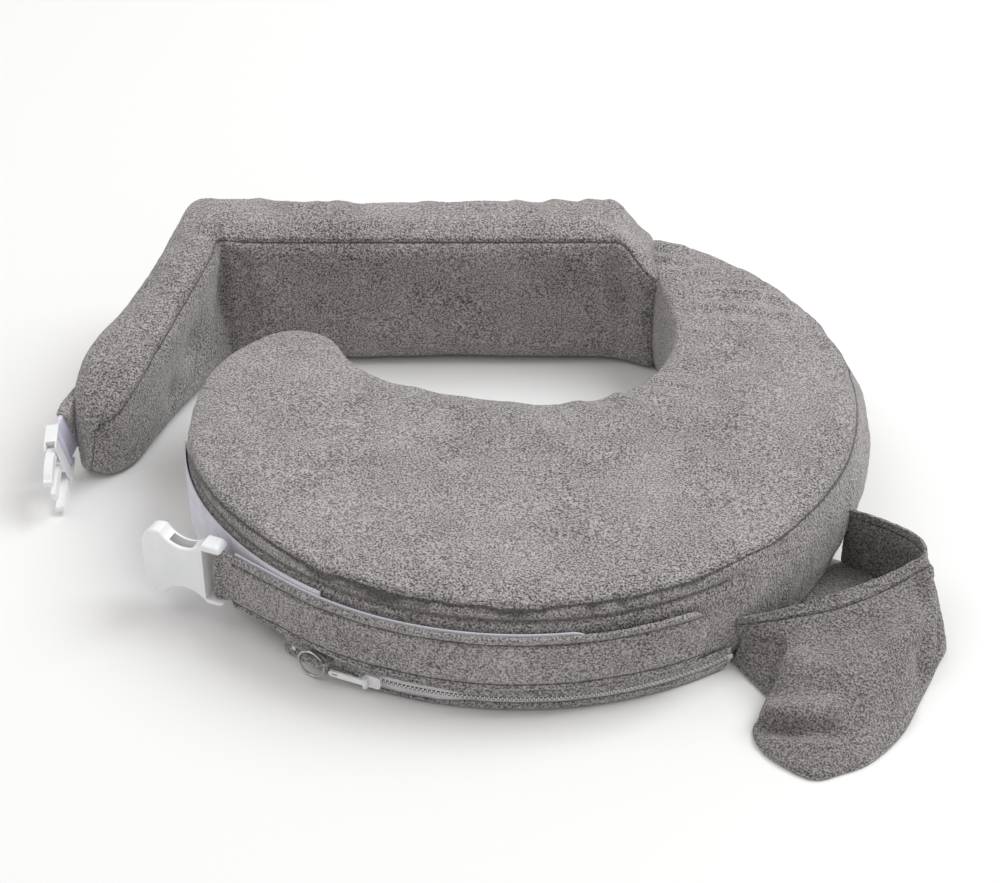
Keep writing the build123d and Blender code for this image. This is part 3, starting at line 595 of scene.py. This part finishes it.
def behind_trim(places):
    """Keeps the round wall inside what is sewn or laid on it, and tucks it in under the top edge."""
    flat = places[:, :2] - RING
    radius = np.linalg.norm(flat, axis=1)
    around = np.degrees(np.arctan2(flat[:, 1], flat[:, 0]))
    ends = np.clip((around + 176) / 6, 0, 1) * np.clip((-52 - around) / 6, 0, 1)
    high = places[:, 2]
    most = RING_R - 0.0011 - 0.0030 * np.exp(-(((high - 0.079) / 0.0060) ** 2))
    zone = (radius > RING_R - 0.020) & (high < 0.086)
    pull = np.where(zone, np.maximum(0.0, radius - most), 0.0) * ends
    places = places.copy()
    places[:, :2] -= flat / radius[:, None] * pull[:, None]
    return places


# ---- Backrest and wing: one cover over both, bent at the corner ----
def rounded_section(width, height, radii, count):
    """A closed rounded box from the outer bottom corner round: (across, up) points, evenly spaced."""
    corners = [(0, 0), (0, height), (width, height), (width, 0)]
    path = []
    for k, (cx, cy) in enumerate(corners):
        r = radii[k]
        ix, iy = (r if cx == 0 else width - r), (r if cy == 0 else height - r)
        start = (math.pi * 1.5, math.pi, math.pi / 2, 0)[k]
        for t in np.linspace(0, math.pi / 2, 9):
            a = start - t
            path.append((ix + r * math.cos(a), iy + r * math.sin(a)))
    path.append(path[0])
    return even(np.array(path), count + 1)[:-1]


def backrest_path(count_back, count_wing):
    """Outer and inner plan points, height and lean at each station from the neck to the wing's end."""
    right = NECK[0] + 0.0035
    outer_a = np.array([right, NECK[1]])
    inner_a = np.array([right, NECK[1] - BACK_T])
    inner_c = inner_corner()
    tip = CORNER + WING_DIR * WING_L
    inner_t = tip - WING_OUT * WING_T
    stations = []
    for t in np.linspace(0, 1, count_back, endpoint=False):
        outer, inner = outer_a + (CORNER - outer_a) * t, inner_a + (inner_c - inner_a) * t
        stations.append((outer, inner, BACK_H, 0.0, t * BACK_L))
    for t in np.linspace(0, 1, count_wing):
        steep = np.clip(((t - 1) * WING_L + WING_TIP_RUN) / WING_TIP_RUN, 0, 1)
        high = BACK_H + (WING_END_H - BACK_H) * t - (WING_END_H - WING_TIP_H) * steep**1.7
        outer, inner = CORNER + (tip - CORNER) * t, inner_c + (inner_t - inner_c) * t
        stations.append((outer, inner, high, WING_LEAN * t, BACK_L + t * WING_L))
    outer = np.array([s[0] for s in stations])
    inner = np.array([s[1] for s in stations])
    high = np.array([s[2] for s in stations])
    for _ in range(9):  # round the corner in plan
        for line in (outer, inner):
            line[1:-1] = line[1:-1] * 0.5 + (line[:-2] + line[2:]) * 0.25
        high[1:-1] = high[1:-1] * 0.5 + (high[:-2] + high[2:]) * 0.25
    lean = np.array([s[3] for s in stations])
    run = np.array([s[4] for s in stations])
    return outer, inner, high, lean, run

def backrest_folds():
    """Folds of the backrest and the wing: points, height and width."""
    top = 0.1285
    return [
        ([(-0.205, 0.284, top), (-0.190, 0.270, top), (-0.176, 0.252, top)], 0.0022, 0.006),
        ([(-0.180, 0.287, top), (-0.158, 0.271, top), (-0.140, 0.246, top)], -0.0014, 0.007),
        ([(-0.138, 0.286, top), (-0.122, 0.272, top), (-0.106, 0.258, top)], 0.0020, 0.006),
        ([(-0.060, 0.286, top), (-0.045, 0.270, top), (-0.030, 0.256, top)], 0.0012, 0.007),
        ([(0.020, 0.286, top), (0.034, 0.268, top), (0.052, 0.246, top)], 0.0018, 0.006),
        ([(0.052, 0.288, top), (0.066, 0.270, top), (0.086, 0.244, top)], 0.0022, 0.006),
        ([(0.082, 0.288, top), (0.096, 0.268, top), (0.112, 0.240, top)], 0.0020, 0.005),
        ([(0.104, 0.288, 0.126), (0.116, 0.268, 0.122), (0.130, 0.240, 0.112)], 0.0022, 0.005),
        ([(-0.230, 0.262, top), (-0.232, 0.238, 0.128), (-0.229, 0.213, 0.124)], -0.0030, 0.005),
        ([(-0.262, 0.236, 0.122), (-0.248, 0.216, 0.122), (-0.232, 0.204, 0.118)], 0.0024, 0.006),
        ([(-0.276, 0.205, 0.112), (-0.262, 0.190, 0.112), (-0.246, 0.176, 0.108)], 0.0022, 0.006),
        ([(-0.282, 0.180, 0.104), (-0.268, 0.164, 0.104), (-0.252, 0.150, 0.099)], 0.0020, 0.006),
        ([(-0.296, 0.140, 0.094), (-0.282, 0.126, 0.092), (-0.270, 0.116, 0.088)], 0.0014, 0.007),
        ([(-0.206, 0.217, 0.118), (-0.205, 0.217, 0.090), (-0.203, 0.217, 0.055)], -0.0026, 0.006),
        ([(-0.228, 0.210, 0.118), (-0.214, 0.216, 0.112), (-0.196, 0.217, 0.100)], -0.0022, 0.005),
        ([(-0.110, 0.217, 0.030), (-0.060, 0.217, 0.045), (0.000, 0.217, 0.036)], 0.0012, 0.012),
        ([(0.080, 0.217, 0.112), (0.098, 0.217, 0.085), (0.106, 0.217, 0.045)], 0.0022, 0.007),
        ([(0.100, 0.217, 0.110), (0.118, 0.217, 0.080), (0.126, 0.217, 0.040)], -0.0022, 0.007),
        ([(0.118, 0.217, 0.098), (0.130, 0.217, 0.074), (0.136, 0.217, 0.040)], 0.0018, 0.006),
        ([(-0.150, 0.291, 0.030), (-0.040, 0.291, 0.060), (0.060, 0.291, 0.040)], 0.0014, 0.014),
        ([(-0.200, 0.291, 0.100), (-0.130, 0.291, 0.085), (-0.060, 0.291, 0.095)], 0.0012, 0.012),
        ([(0.070, 0.291, 0.110), (0.100, 0.291, 0.080), (0.120, 0.291, 0.040)], 0.0018, 0.009),
    ]


def backrest():
    """The tall backrest and the lower wing under one continuous cover."""
    outer, inner, high, lean, run = backrest_path(102, 64)
    sections, edge_distance = [], []
    end = run[-1]
    for a, b, h, slope, s in zip(outer, inner, high, lean, run):
        neck = eased(np.clip(s / 0.040, 0, 1))
        h = PILLOW_H + 0.001 + (h - PILLOW_H - 0.001) * neck if s < 0.04 else h
        # at the neck the inner face swells out to meet the crescent
        b = b + np.array([0.0, -0.013]) * math.exp(-((s / 0.024) ** 2))
        # the wing's end is rounded in plan, mostly on its inner side
        inside = np.clip((s - end + 0.044) / 0.044, 0, 1)
        outside = np.clip((s - end + 0.016) / 0.016, 0, 1)
        span = b - a
        b = a + span * (0.46 + 0.54 * math.sqrt(1 - inside**2))
        a = a + span * 0.22 * (1 - math.sqrt(1 - outside**2))
        # and its outer face swells
        a = a + WING_OUT * 0.011 * math.exp(-(((s - end + 0.055) / 0.050) ** 2))
        width = np.linalg.norm(b - a)
        inward = (b - a) / width
        start = np.clip(s / 0.008, 0, 1)
        ease = 0.95 + 0.05 * math.sqrt(1 - (1 - start) ** 2)
        soft = 1 - 0.12 * (1 - math.sqrt(1 - outside**2))
        wide, tall = width - 0.004, h - 0.003
        section = rounded_section(wide, tall, (0.006, 0.017, 0.008, 0.006), BACK_AROUND)
        centre = np.array([wide / 2, tall / 2])
        section = centre + (section - centre) * np.array([ease, ease * soft])
        section[:, 1] -= section[:, 1].min() - 0.0015 - 0.006 * outside**3
        rows = []
        below_edge = section[:, 1] - (tall - 0.0050)
        edge_distance.append(np.where(section[:, 0] > wide * 0.5, below_edge, FAR_FROM_SEAM))
        for w, z in section:
            cut = slope * (1 - z / h) * (w / width)
            p = a + inward * (0.002 + w - cut)
            crown = (0.0085 - 0.0055 * w / wide) * np.clip(z / h, 0, 1) ** 2
            rows.append((p[0], p[1], z + crown))
        sections.append(rows)
    obj = tube("backrest_wing_cover", sections, cap_rings=CAP_RINGS, dome=(0.0012, 0.004))
    blank = [np.full(BACK_AROUND, FAR_FROM_SEAM)] * (CAP_RINGS - 1)
    sewn(obj, np.concatenate([*blank, *edge_distance, *blank, [FAR_FROM_SEAM] * 2]))
    inflate(obj, 0.0035, pressure=4.0, frames=16)
    subdivided(obj)
    places = coords(obj)
    out = normals(obj)
    places = places + out * (0.0012 * wave(places, 0.07, 11) + 0.0007 * wave(places, 0.024, 12))[:, None]
    # the corner: the inner top is tucked, and the face below it is pinched
    tuck = np.array([*inner_corner(), 0.0])
    away = np.linalg.norm((places - tuck)[:, :2], axis=1)
    pinch = np.exp(-((away / 0.016) ** 2)) * np.clip((places[:, 2] - 0.01) / 0.12, 0, 1)
    inward3 = np.array([*(CORNER - inner_corner()), 0.0])
    inward3 /= np.linalg.norm(inward3)
    places = places + inward3 * (pinch * 0.005)[:, None]
    set_coords(obj, places)
    out = normals(obj)
    places = coords(obj)
    for line, tall, wide in backrest_folds():
        places = places + fold(places, out, line, tall, wide)
    # dimples on the wing's inner face
    dimples = ((0.118, 0.056, 0.0100, 0.021), (0.160, 0.034, 0.0080, 0.014), (0.060, 0.070, 0.0050, 0.022))
    for along, z, deep, wide in dimples:
        spot = CORNER + WING_DIR * along - WING_OUT * WING_T
        away = np.linalg.norm(places - np.array([spot[0], spot[1], z]), axis=1)
        places = places + np.array([*WING_OUT, 0.0]) * (deep * np.exp(-((away / wide) ** 2)))[:, None]
    places[:, 2] = np.maximum(places[:, 2], 0.0)
    set_coords(obj, places)
    nap(obj, 8)
    above(obj)
    dress(obj, TERRY)
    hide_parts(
        "backrest_foam",
        "backrest_top_panel",
        "backrest_cover",
        "wing_foam",
        "wing_top_panel",
        "wing_cover",
        "wing_fold_welt",
    )
    mid = (CORNER + inner_corner()) / 2
    along = WING_DIR + np.array([-1.0, 0.0])
    along = along / np.linalg.norm(along)
    start, finish = mid - along * 0.016, mid + along * 0.016
    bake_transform(obj)
    return obj


def inner_corner():
    """The plan point where the backrest's and the wing's inner faces meet."""
    run = (BACK_T + WING_T * WING_DIR[0]) / -WING_DIR[1]
    return CORNER - WING_OUT * WING_T + WING_DIR * run


# ---- Flat straps and tabs ----
def ribbon(name, centre, up, out, height, thick, rows, seam_in=0.0):
    """A strap along a line of centres: a rounded far end and, at seam_in from its edges, sewn channels."""
    sections, distances = [], []
    lengths = run_along(centre)
    seam = height / 2 - seam_in
    for i in range(len(centre)):
        half = height / 2
        left = lengths[-1] - lengths[i]
        if left < STRAP_TIP_R:
            gone = 1 - left / STRAP_TIP_R
            half = height / 2 - STRAP_TIP_R * (1 - math.sqrt(max(0.0, 1 - gone**2)))
        section = []
        path = []
        edge = min(thick / 2, half * 0.9) * 0.98
        for t in np.linspace(-1, 1, rows):
            path.append((t * (half - edge), thick / 2))
        for t in np.linspace(math.pi / 2, -math.pi / 2, 7)[1:-1]:
            path.append((half - edge + edge * math.cos(t), math.sin(t) * thick / 2))
        for t in np.linspace(1, -1, rows):
            path.append((t * (half - edge), -thick / 2))
        for t in np.linspace(-math.pi / 2, -3 * math.pi / 2, 7)[1:-1]:
            path.append((-(half - edge) + edge * math.cos(t), math.sin(t) * thick / 2))
        for v, w in path:
            puff = 0.0
            if w > 0 and seam_in:
                for side in (1, -1):
                    puff -= 0.0007 * math.exp(-(((v - side * seam) / 0.0012) ** 2))
            if w > 0:
                puff += 0.0006 * (1 - (v / (height / 2)) ** 2)
            section.append(centre[i] + up[i] * v + out[i] * (w + puff))
        sections.append(section)
        across, depth = np.array(path).T
        distances.append(np.where(depth > 0, np.abs(across) - seam, FAR_FROM_SEAM))
    obj = tube(name, sections)
    if seam_in:
        sewn(obj, np.concatenate([*distances, [FAR_FROM_SEAM] * 2]))
    return obj


def point_at(run, line, distance):
    """The point or direction of a line at a distance along it."""
    return np.array([np.interp(distance, run, line[:, i]) for i in range(3)])


def bar_faces(base, rings, sides):
    """Faces of a short closed bar whose rings of points start at vertex number base."""
    faces = []
    for r in range(rings - 1):
        for q in range(sides):
            p, s = base + r * sides + q, base + r * sides + (q + 1) % sides
            faces.append((p, s, s + sides, p + sides))
    last = base + (rings - 1) * sides
    faces.append(tuple(base + q for q in range(sides))[::-1])
    faces.append(tuple(last + q for q in range(sides)))
    return faces


STITCH_SHAPE = ((-0.5, 0.25), (-0.38, 0.8), (0.0, 1.0), (0.38, 0.8), (0.5, 0.25))  # place, thickness


def stitches(name, line, out, pitch=0.0032, length=0.0021, radius=0.00035):
    """A row of short sewn stitches laid on a surface along a line."""
    line = np.array(line, float)
    out = np.array(out, float)
    run = run_along(line)
    verts, faces = [], []
    for k in range(int(run[-1] / pitch)):
        middle = (k + 0.5) * pitch
        ends = [point_at(run, line, middle + side * length / 2) for side in (-1, 1)]
        lift = point_at(run, out, middle)
        along = ends[1] - ends[0]
        along /= max(1e-9, np.linalg.norm(along))
        lift /= max(1e-9, np.linalg.norm(lift))
        side = np.cross(along, lift)
        base = len(verts)
        for t, size in STITCH_SHAPE:
            middle_point = (ends[0] + ends[1]) / 2 + along * t * length
            for q in range(6):
                a = q * math.pi / 3
                verts.append(middle_point + (lift * math.sin(a) + side * math.cos(a)) * radius * size)
        faces += bar_faces(base, len(STITCH_SHAPE), 6)
    return new_object(name, verts, faces)


STRAP_T = 0.0040
TAPE_T = 0.0014
STRAP_LEAVE = -128.0
STRAP_END = -61.0
TAPE_END = -79.0
STRAP_FREE = 0.068
SEWN_LOOP = 0.016
STRAP_H = 0.046
STRAP_TIP_R = 0.018
STRAP_SEAM_IN = 0.0055  # rows of stitches, in from the strap's edges
STRAP_SEWN = slice(3, -14)  # centres along which the two long rows of stitches run
STRAP_MID_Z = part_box("strap_cover")[0].z + STRAP_H / 2
TAPE_IN = RING_R + 0.0012 + 0.0004
STRAP_IN = TAPE_IN + TAPE_T


def strap_line(radius, end=STRAP_END):
    """Centres and outward directions from the sewn loop, straight to the wall and then along it."""
    leave = math.radians(STRAP_LEAVE)
    way = np.array([math.sin(leave), -math.cos(leave)])
    bend = on_ring(STRAP_LEAVE, radius)
    points, outs = [], []
    for t in np.linspace(STRAP_FREE - SEWN_LOOP, 0, 24, endpoint=False):
        points.append(bend + way * t)
        outs.append(outward(STRAP_LEAVE))
    for angle in np.linspace(STRAP_LEAVE, end, 110):
        points.append(on_ring(angle, radius))
        outs.append(outward(angle))
    centre = np.array([(p[0], p[1], STRAP_MID_Z) for p in points])
    out = np.array(outs)
    up = np.tile(np.array([0.0, 0.0, 1.0]), (len(centre), 1))
    return centre, up, out


def front_strap():
    """Terry face with two rows of stitches, and the pale hook tape that shows above it."""
    centre, up, out = strap_line(STRAP_IN + STRAP_T / 2)
    obj = ribbon("front_strap_terry", centre, up, out, STRAP_H, STRAP_T, 26, STRAP_SEAM_IN)
    subdivided(obj)
    places = coords(obj)
    crumple = 0.0004 * wave(places, 0.02, 21) + 0.0003 * wave(places, 0.008, 22)
    places = places + normals(obj) * crumple[:, None]
    # its lower edge stands off the wall in slow waves
    from_ring = places[:, :2] - RING
    away = from_ring / np.linalg.norm(from_ring, axis=1)[:, None]
    low = np.clip((STRAP_MID_Z - places[:, 2]) / (STRAP_H / 2), 0, 1) ** 2
    slow = wave(places * np.array([1, 1, 0]), 0.060, 24)
    places[:, :2] += away * (low * (0.0022 + 0.0022 * slow))[:, None]
    set_coords(obj, places)
    nap(obj, 23, 0.0003, 0.0036)
    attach(dress(obj, TERRY), "front_strap")
    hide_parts("strap_cover")
    tape_line, tape_up, tape_out = strap_line(TAPE_IN + TAPE_T / 2, end=TAPE_END)
    tape_line = tape_line + np.array([0, 0, 0.0006])
    tape_h = STRAP_H + 0.0014
    tape = ribbon("front_strap_hook_tape", tape_line, tape_up, tape_out, tape_h, TAPE_T, 10)
    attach(dress(tape, HOOK), "front_strap")
    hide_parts("strap_hook_tape")
    face = STRAP_T / 2 - 0.0001
    rows = []
    for side in (1, -1):
        sewn_out = out[STRAP_SEWN]
        line = centre[STRAP_SEWN] + sewn_out * face + up[STRAP_SEWN] * side * (STRAP_H / 2 - STRAP_SEAM_IN)
        rows.append(stitches(f"strap_stitches_{'upper' if side > 0 else 'lower'}", line, sewn_out))
    bend = []
    for t in np.linspace(math.pi / 2, -math.pi / 2, 30):
        along = len(centre) - 14
        base = centre[along] + out[along] * face
        way = centre[-1] - centre[-8]
        way /= np.linalg.norm(way)
        rise = up[along] * math.sin(t) * (STRAP_H / 2 - STRAP_SEAM_IN)
        bend.append(base + way * math.cos(t) * 0.0165 + rise)
    rows.append(stitches("strap_stitches_tip", bend, np.tile(out[-10], (30, 1))))
    box = []
    for k in (5, 8):
        box.append([centre[k] + out[k] * face + up[k] * v for v in np.linspace(-0.0165, 0.0165, 12)])
    for k, line in enumerate(box):
        rows.append(stitches(f"strap_bar_tack_{k}", line, np.tile(out[5], (12, 1))))
    for row in rows:
        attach(dress(row, THREAD), "front_strap")
    return obj


def softened(name, node, voxel, body, seed, height, size, smooth, material=TERRY):
    """A cloth piece made from a CAD node's form: rounded, uneven and fuzzy."""
    obj = copy_node(name, node)
    modified(obj, "REMESH", mode="VOXEL", voxel_size=voxel)
    modified(obj, "SMOOTH", factor=0.5, iterations=smooth)
    nap(obj, seed, height, size)
    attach(dress(obj, material), body)
    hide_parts(node)
    return obj


# ---- Zipper ----
# A tooth's rings: height, half width and half depth
TOOTH_SHAPE = (
    (-0.0011, 0.00045, 0.0004),
    (-0.0007, 0.00066, 0.0007),
    (0.0, 0.0007, 0.0008),
    (0.0007, 0.00066, 0.0007),
    (0.0011, 0.00045, 0.0004),
)


def zipper_coil():
    """Two interlocked rows of moulded teeth along the wall's lower edge."""
    low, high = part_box("zipper_coil")
    z = (low.z + high.z) / 2
    verts, faces = [], []
    radius = RING_R + 0.0008
    pitch = 0.0016
    first, last = math.radians(-128.0), math.radians(-55.5)
    count = int((last - first) * RING_R / pitch)
    for k in range(count):
        a = first + (k + 0.5) * pitch / RING_R
        out = np.array([math.cos(a), math.sin(a), 0])
        way = np.array([-math.sin(a), math.cos(a), 0])
        up = np.array([0, 0, 1.0])
        side = 1 if k % 2 else -1
        middle = np.array([RING[0], RING[1], z]) + out * radius + up * side * 0.0006
        base = len(verts)
        for dz, wide, deep in TOOTH_SHAPE:
            for q in range(8):
                t = q * math.pi / 4 + math.pi / 8
                verts.append(middle + up * dz + way * math.cos(t) * wide + out * math.sin(t) * deep)
        faces += bar_faces(base, len(TOOTH_SHAPE), 8)
    obj = new_object("zipper_teeth", verts, faces)
    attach(dress(obj, TEETH), "pillow")
    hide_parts("zipper_coil")
    rows = []
    for side, name in ((1, "upper"), (-1, "lower")):
        angles = np.linspace(-127.5, -56.0, 160)
        height = z + side * 0.0052
        line = [on_ring(a, RING_R + 0.0010, height) for a in angles]
        outs = [outward(a) for a in angles]
        rows.append(stitches(f"zipper_stitches_{name}", line, outs, 0.0026, 0.0018, 0.0003))
    for row in rows:
        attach(dress(row, PALE_THREAD), "pillow")
    return obj


def zipper_lips():
    """The folded terry edges beside the zipper: shut left of the slider, apart where it runs."""
    low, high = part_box("zipper_coil")
    middle = (low.z + high.z) / 2
    slide_low, slide_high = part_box("zipper_slider")
    slider = math.degrees(math.atan2((slide_low.y + slide_high.y) / 2 - RING[1], slide_low.x - RING[0]))
    angles = np.linspace(-129.5, -56.5, 150)
    travel = slider + math.degrees(0.056 / RING_R)
    clear, shown = 0.0062, 0.0027
    gaps = np.interp(angles, [slider - 2.2, slider - 0.2, travel, travel + 5], [0.0004, clear, clear, shown])
    for side, name in ((1, "upper"), (-1, "lower")):
        outer_edge = 0.0098 if side > 0 else 0.0086
        wobble = np.array([wave([(a * 0.0047, side, 0.0)], 0.020, 61 + side)[0] for a in angles])
        edge = middle + side * (gaps + 0.0005 * wobble)
        far = np.full(len(angles), middle + side * outer_edge)
        centre, up, out = [], [], []
        for a, z in zip(angles, (edge + far) / 2):
            centre.append(on_ring(a, RING_R + 0.0019, z))
            out.append(outward(a))
            up.append((0.0, 0.0, 1.0))
        heights = np.abs(far - edge)
        centre, up, out = np.array(centre), np.array(up), np.array(out)
        sections = []
        for k in range(len(angles)):
            ring = []
            for t in np.linspace(0, 2 * math.pi, 29)[:-1]:
                v, w = math.cos(t), math.sin(t)
                v = math.copysign(abs(v) ** 0.6, v) * heights[k] / 2
                w = math.copysign(abs(w) ** 0.7, w) * 0.0011
                ring.append(centre[k] + up[k] * v + out[k] * w)
            sections.append(ring)
        lip = tube(f"zipper_lip_{name}", sections)
        nap(lip, 64 + side, 0.0003, 0.0030)
        above(lip, 0.0002)
        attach(dress(lip, TERRY), "pillow")
        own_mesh(lip)


# ---- Neck: the rolled seam that the backrest turns about ----
def neck_gusset():
    """A rolled, slightly gathered strip of cloth up the outer edge of the neck fold."""
    sections = []
    top = PILLOW_H - 0.014
    heights = np.linspace(0.003, top, 60)
    for z in heights:
        swell = 0.0034 + 0.0005 * math.sin(z * 420) + 0.0003 * math.sin(z * 910 + 1)
        end = min(1.0, (top - z) / 0.004, (z - 0.001) / 0.003)
        size = swell * math.sqrt(max(0.06, 1 - (1 - end) ** 2))
        wide = size * 1.15
        middle = NECK - np.array([0.0, 0.0006])
        turns = np.linspace(0, 2 * math.pi, 25)[:-1]
        sections.append([(middle[0] + wide * math.cos(t), middle[1] + size * math.sin(t), z) for t in turns])
    obj = tube("neck_gusset", sections)
    subdivided(obj)
    nap(obj, 31, 0.00025, 0.003)
    dress(obj, TERRY)
    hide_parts("neck_fold_welt")
    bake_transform(obj)
    return obj


# ---- Pocket ----
POCKET_LEFT = -55.0  # degrees about the ring centre
POCKET_RIGHT = -23.0


def pocket():
    """A slumped terry pocket: hemmed mouth, slack front, and a toe that spreads on the floor."""
    cols, rows = 96, 64
    left, right = on_ring(POCKET_LEFT, RING_R + 0.0015), on_ring(POCKET_RIGHT, RING_R + 0.0015)
    rim = (
        (-51, 0.280, 0.0445), (-46.4, 0.291, 0.0470), (-41, 0.304, 0.0490), (-36, 0.318, 0.0505),
        (-31, 0.333, 0.0520), (-27.6, 0.341, 0.0535), (-25, 0.330, 0.0545), (-23.6, 0.300, 0.0555),
    )
    mouth = curve_through([(*left, 0.043), *[on_ring(*p) for p in rim], (*right, 0.0555)], cols)
    toe = (
        (0.207, -0.222), (0.191, -0.243), (0.194, -0.266), (0.210, -0.284), (0.228, -0.295), (0.246, -0.290),
        (0.270, -0.278), (0.296, -0.250), (0.315, -0.214), (0.330, -0.184), (0.340, -0.156), (0.334, -0.112),
    )
    foot = curve_through([(*left, 0.004), *[(x, y, 0.003) for x, y in toe], (*right, 0.003)], cols)
    verts = []
    for i in range(rows):
        v = i / (rows - 1)
        for j in range(cols):
            u = j / (cols - 1)
            m, f = mouth[j], foot[j]
            drop = v**1.15
            p = m + (f - m) * np.array([v**1.35, v**1.35, drop])
            # slack cloth draws in at the left, above the part that spreads on the floor
            waist = math.exp(-(((v - 0.60) / 0.20) ** 2)) * math.exp(-(((u - 0.13) / 0.12) ** 2))
            verts.append(p + np.array([0.012 * waist, 0.004 * waist, 0.0]))
    obj = new_object("pocket_terry", verts, grid_faces(rows, cols))
    places = coords(obj)
    out = normals(obj)
    if out[cols * 10 + cols // 2][1] > 0:
        obj.data.flip_normals()
        out = normals(obj)
    share_v = np.repeat(np.linspace(0, 1, rows), cols)
    share_u = np.tile(np.linspace(0, 1, cols), rows)
    free = np.sin(share_u * math.pi) ** 0.5 * np.clip(share_v * 3, 0, 1)
    slack = 0.0024 * wave(places, 0.055, 41) + 0.0012 * wave(places, 0.022, 42)
    places = places + out * (free * slack)[:, None]
    belly = np.exp(-(((share_v - 0.62) / 0.22) ** 2)) * np.sin(share_u * math.pi)
    places = places + np.array([0, 0, 0.010]) * belly[:, None] + out * (belly * 0.004)[:, None]
    set_coords(obj, places)
    out = normals(obj)
    for line, tall, wide in pocket_folds():
        places = places + fold(places, out, line, tall, wide, fade=0.12)
    places[:, 2] = np.maximum(places[:, 2], 0.0032)
    set_coords(obj, places)
    sewn(obj, share_v * 0.105 - 0.0175)
    # painted shade: the whole pocket is marked darker, for the shade its front lies in
    mark(obj, "painted_shade", np.full(len(places), 0.32))
    modified(obj, "SOLIDIFY", thickness=0.0026, offset=-1.0)
    subdivided(obj)
    nap(obj, 43, 0.00035, 0.004)
    above(obj, 0.0002)
    return obj, foot


def pocket_folds():
    """Creases of the slumped pocket front."""
    return [
        ([(0.190, -0.246, 0.008), (0.218, -0.258, 0.012), (0.252, -0.262, 0.012)], -0.0060, 0.005),
        ([(0.194, -0.236, 0.014), (0.220, -0.246, 0.020), (0.254, -0.250, 0.020)], 0.0055, 0.008),
        ([(0.192, -0.184, 0.030), (0.208, -0.196, 0.026), (0.236, -0.210, 0.026)], 0.0026, 0.007),
        ([(0.329, -0.112, 0.050), (0.326, -0.150, 0.030), (0.319, -0.206, 0.006)], 0.0050, 0.005),
        ([(0.337, -0.112, 0.044), (0.336, -0.150, 0.024), (0.329, -0.192, 0.006)], -0.0060, 0.006),
        ([(0.290, -0.150, 0.036), (0.292, -0.186, 0.024), (0.282, -0.226, 0.014)], 0.0024, 0.010),
        ([(0.250, -0.170, 0.036), (0.246, -0.200, 0.026), (0.236, -0.226, 0.020)], -0.0018, 0.010),
    ]


def build_pocket():
    """The pocket's front with its hem and bottom, which goes with it."""
    obj, foot = pocket()
    angles = np.linspace(POCKET_LEFT, POCKET_RIGHT, len(foot))
    wall = [on_ring(a, RING_R - 0.010) for a in angles]
    outline = [(p[0], p[1], 0.0016) for p in [*foot, *wall[::-1]]]
    triangles = tessellate_polygon([[Vector(p) for p in outline]])
    base = new_object("pocket_base", outline, triangles, smooth=False)
    modified(base, "SOLIDIFY", thickness=0.0022, offset=0.0)
    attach(dress(base, TERRY), "pillow")
    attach(dress(obj, TERRY), "pillow")
    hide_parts("pocket_hem", "pocket_panel")
    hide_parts("pocket_bottom")
    return obj, base


crescent()
backrest()
neck_gusset()
front_strap()
zipper_coil()
zipper_lips()
pocket_front, pocket_base = build_pocket()
softened("keeper_tab_terry", "keeper_tab", 0.0008, "pillow", 51, 0.0002, 0.0022, 5)
softened("rear_strap_terry", "rear_strap_cover", 0.0012, "wing", 52, 0.0003, 0.0034, 5)
softened("rear_strap_web", "rear_strap_webbing", 0.0008, "wing", 53, 0.00006, 0.002, 2, WEB)
softened("front_strap_web", "strap_buckle_loop", 0.0007, "front_strap", 54, 0.00006, 0.002, 2)

CARRIED = {
    "loop_panel": LOOP,
    "zipper_tape_upper": TAPE,
    "zipper_tape_lower": TAPE,
    "zipper_stops": TEETH,
    "buckle_socket": BUCKLE,
    "buckle_plug": BUCKLE,
    "release_arm_upper": BUCKLE,
    "release_arm_lower": BUCKLE,
    "zipper_slider": SLIDER,
    "zipper_pull": SLIDER,
    "keeper_ring": STEEL,
}
for node, material in CARRIED.items():
    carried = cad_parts[node]
    carried.data.materials.clear()
    carried.data.materials.append(material)


# ---- Stage: floor, light and camera ----
bpy.ops.mesh.primitive_plane_add(size=14, location=(0, 0, -0.0003))
floor = bpy.context.object
floor.name = "floor"
dress(floor, floor_material())

world = bpy.data.worlds.new("studio")
bpy.context.scene.world = world
bpy.context.scene.view_settings.view_transform = "Standard"
world.use_nodes = True
world.node_tree.nodes["Background"].inputs[0].default_value = (1.0, 0.975, 0.945, 1.0)
world.node_tree.nodes["Background"].inputs[1].default_value = 0.52


def area_light(name, place, target, size, power, colour):
    """A soft square lamp that looks at a point."""
    data = bpy.data.lights.new(name, "AREA")
    data.size = size
    data.energy = power
    data.color = colour
    lamp = bpy.data.objects.new(name, data)
    lamp.location = place
    lamp.rotation_euler = (Vector(target) - Vector(place)).to_track_quat("-Z", "Y").to_euler()
    bpy.context.scene.collection.objects.link(lamp)


area_light("key", (2.7, 0.9, 3.6), (0, 0, 0.05), 3.0, 150, (0.98, 0.99, 1.0))
area_light("fill", (-2.4, 0.2, 4.2), (0, 0, 0.05), 3.6, 52, (0.97, 0.985, 1.0))
area_light("front", (0.8, -4.4, 2.8), (0, 0, 0.05), 3.2, 8, (1.0, 1.0, 1.0))

camera_data = bpy.data.cameras.new("camera")
camera_data.lens = 76.5
camera_data.sensor_width = 36.0
camera = bpy.data.objects.new("camera", camera_data)
bpy.context.scene.collection.objects.link(camera)
camera.location = (0.01173, -1.34152, 1.04920)
camera.rotation_euler = (math.radians(90 - 36), 0, 0)
bpy.context.scene.camera = camera
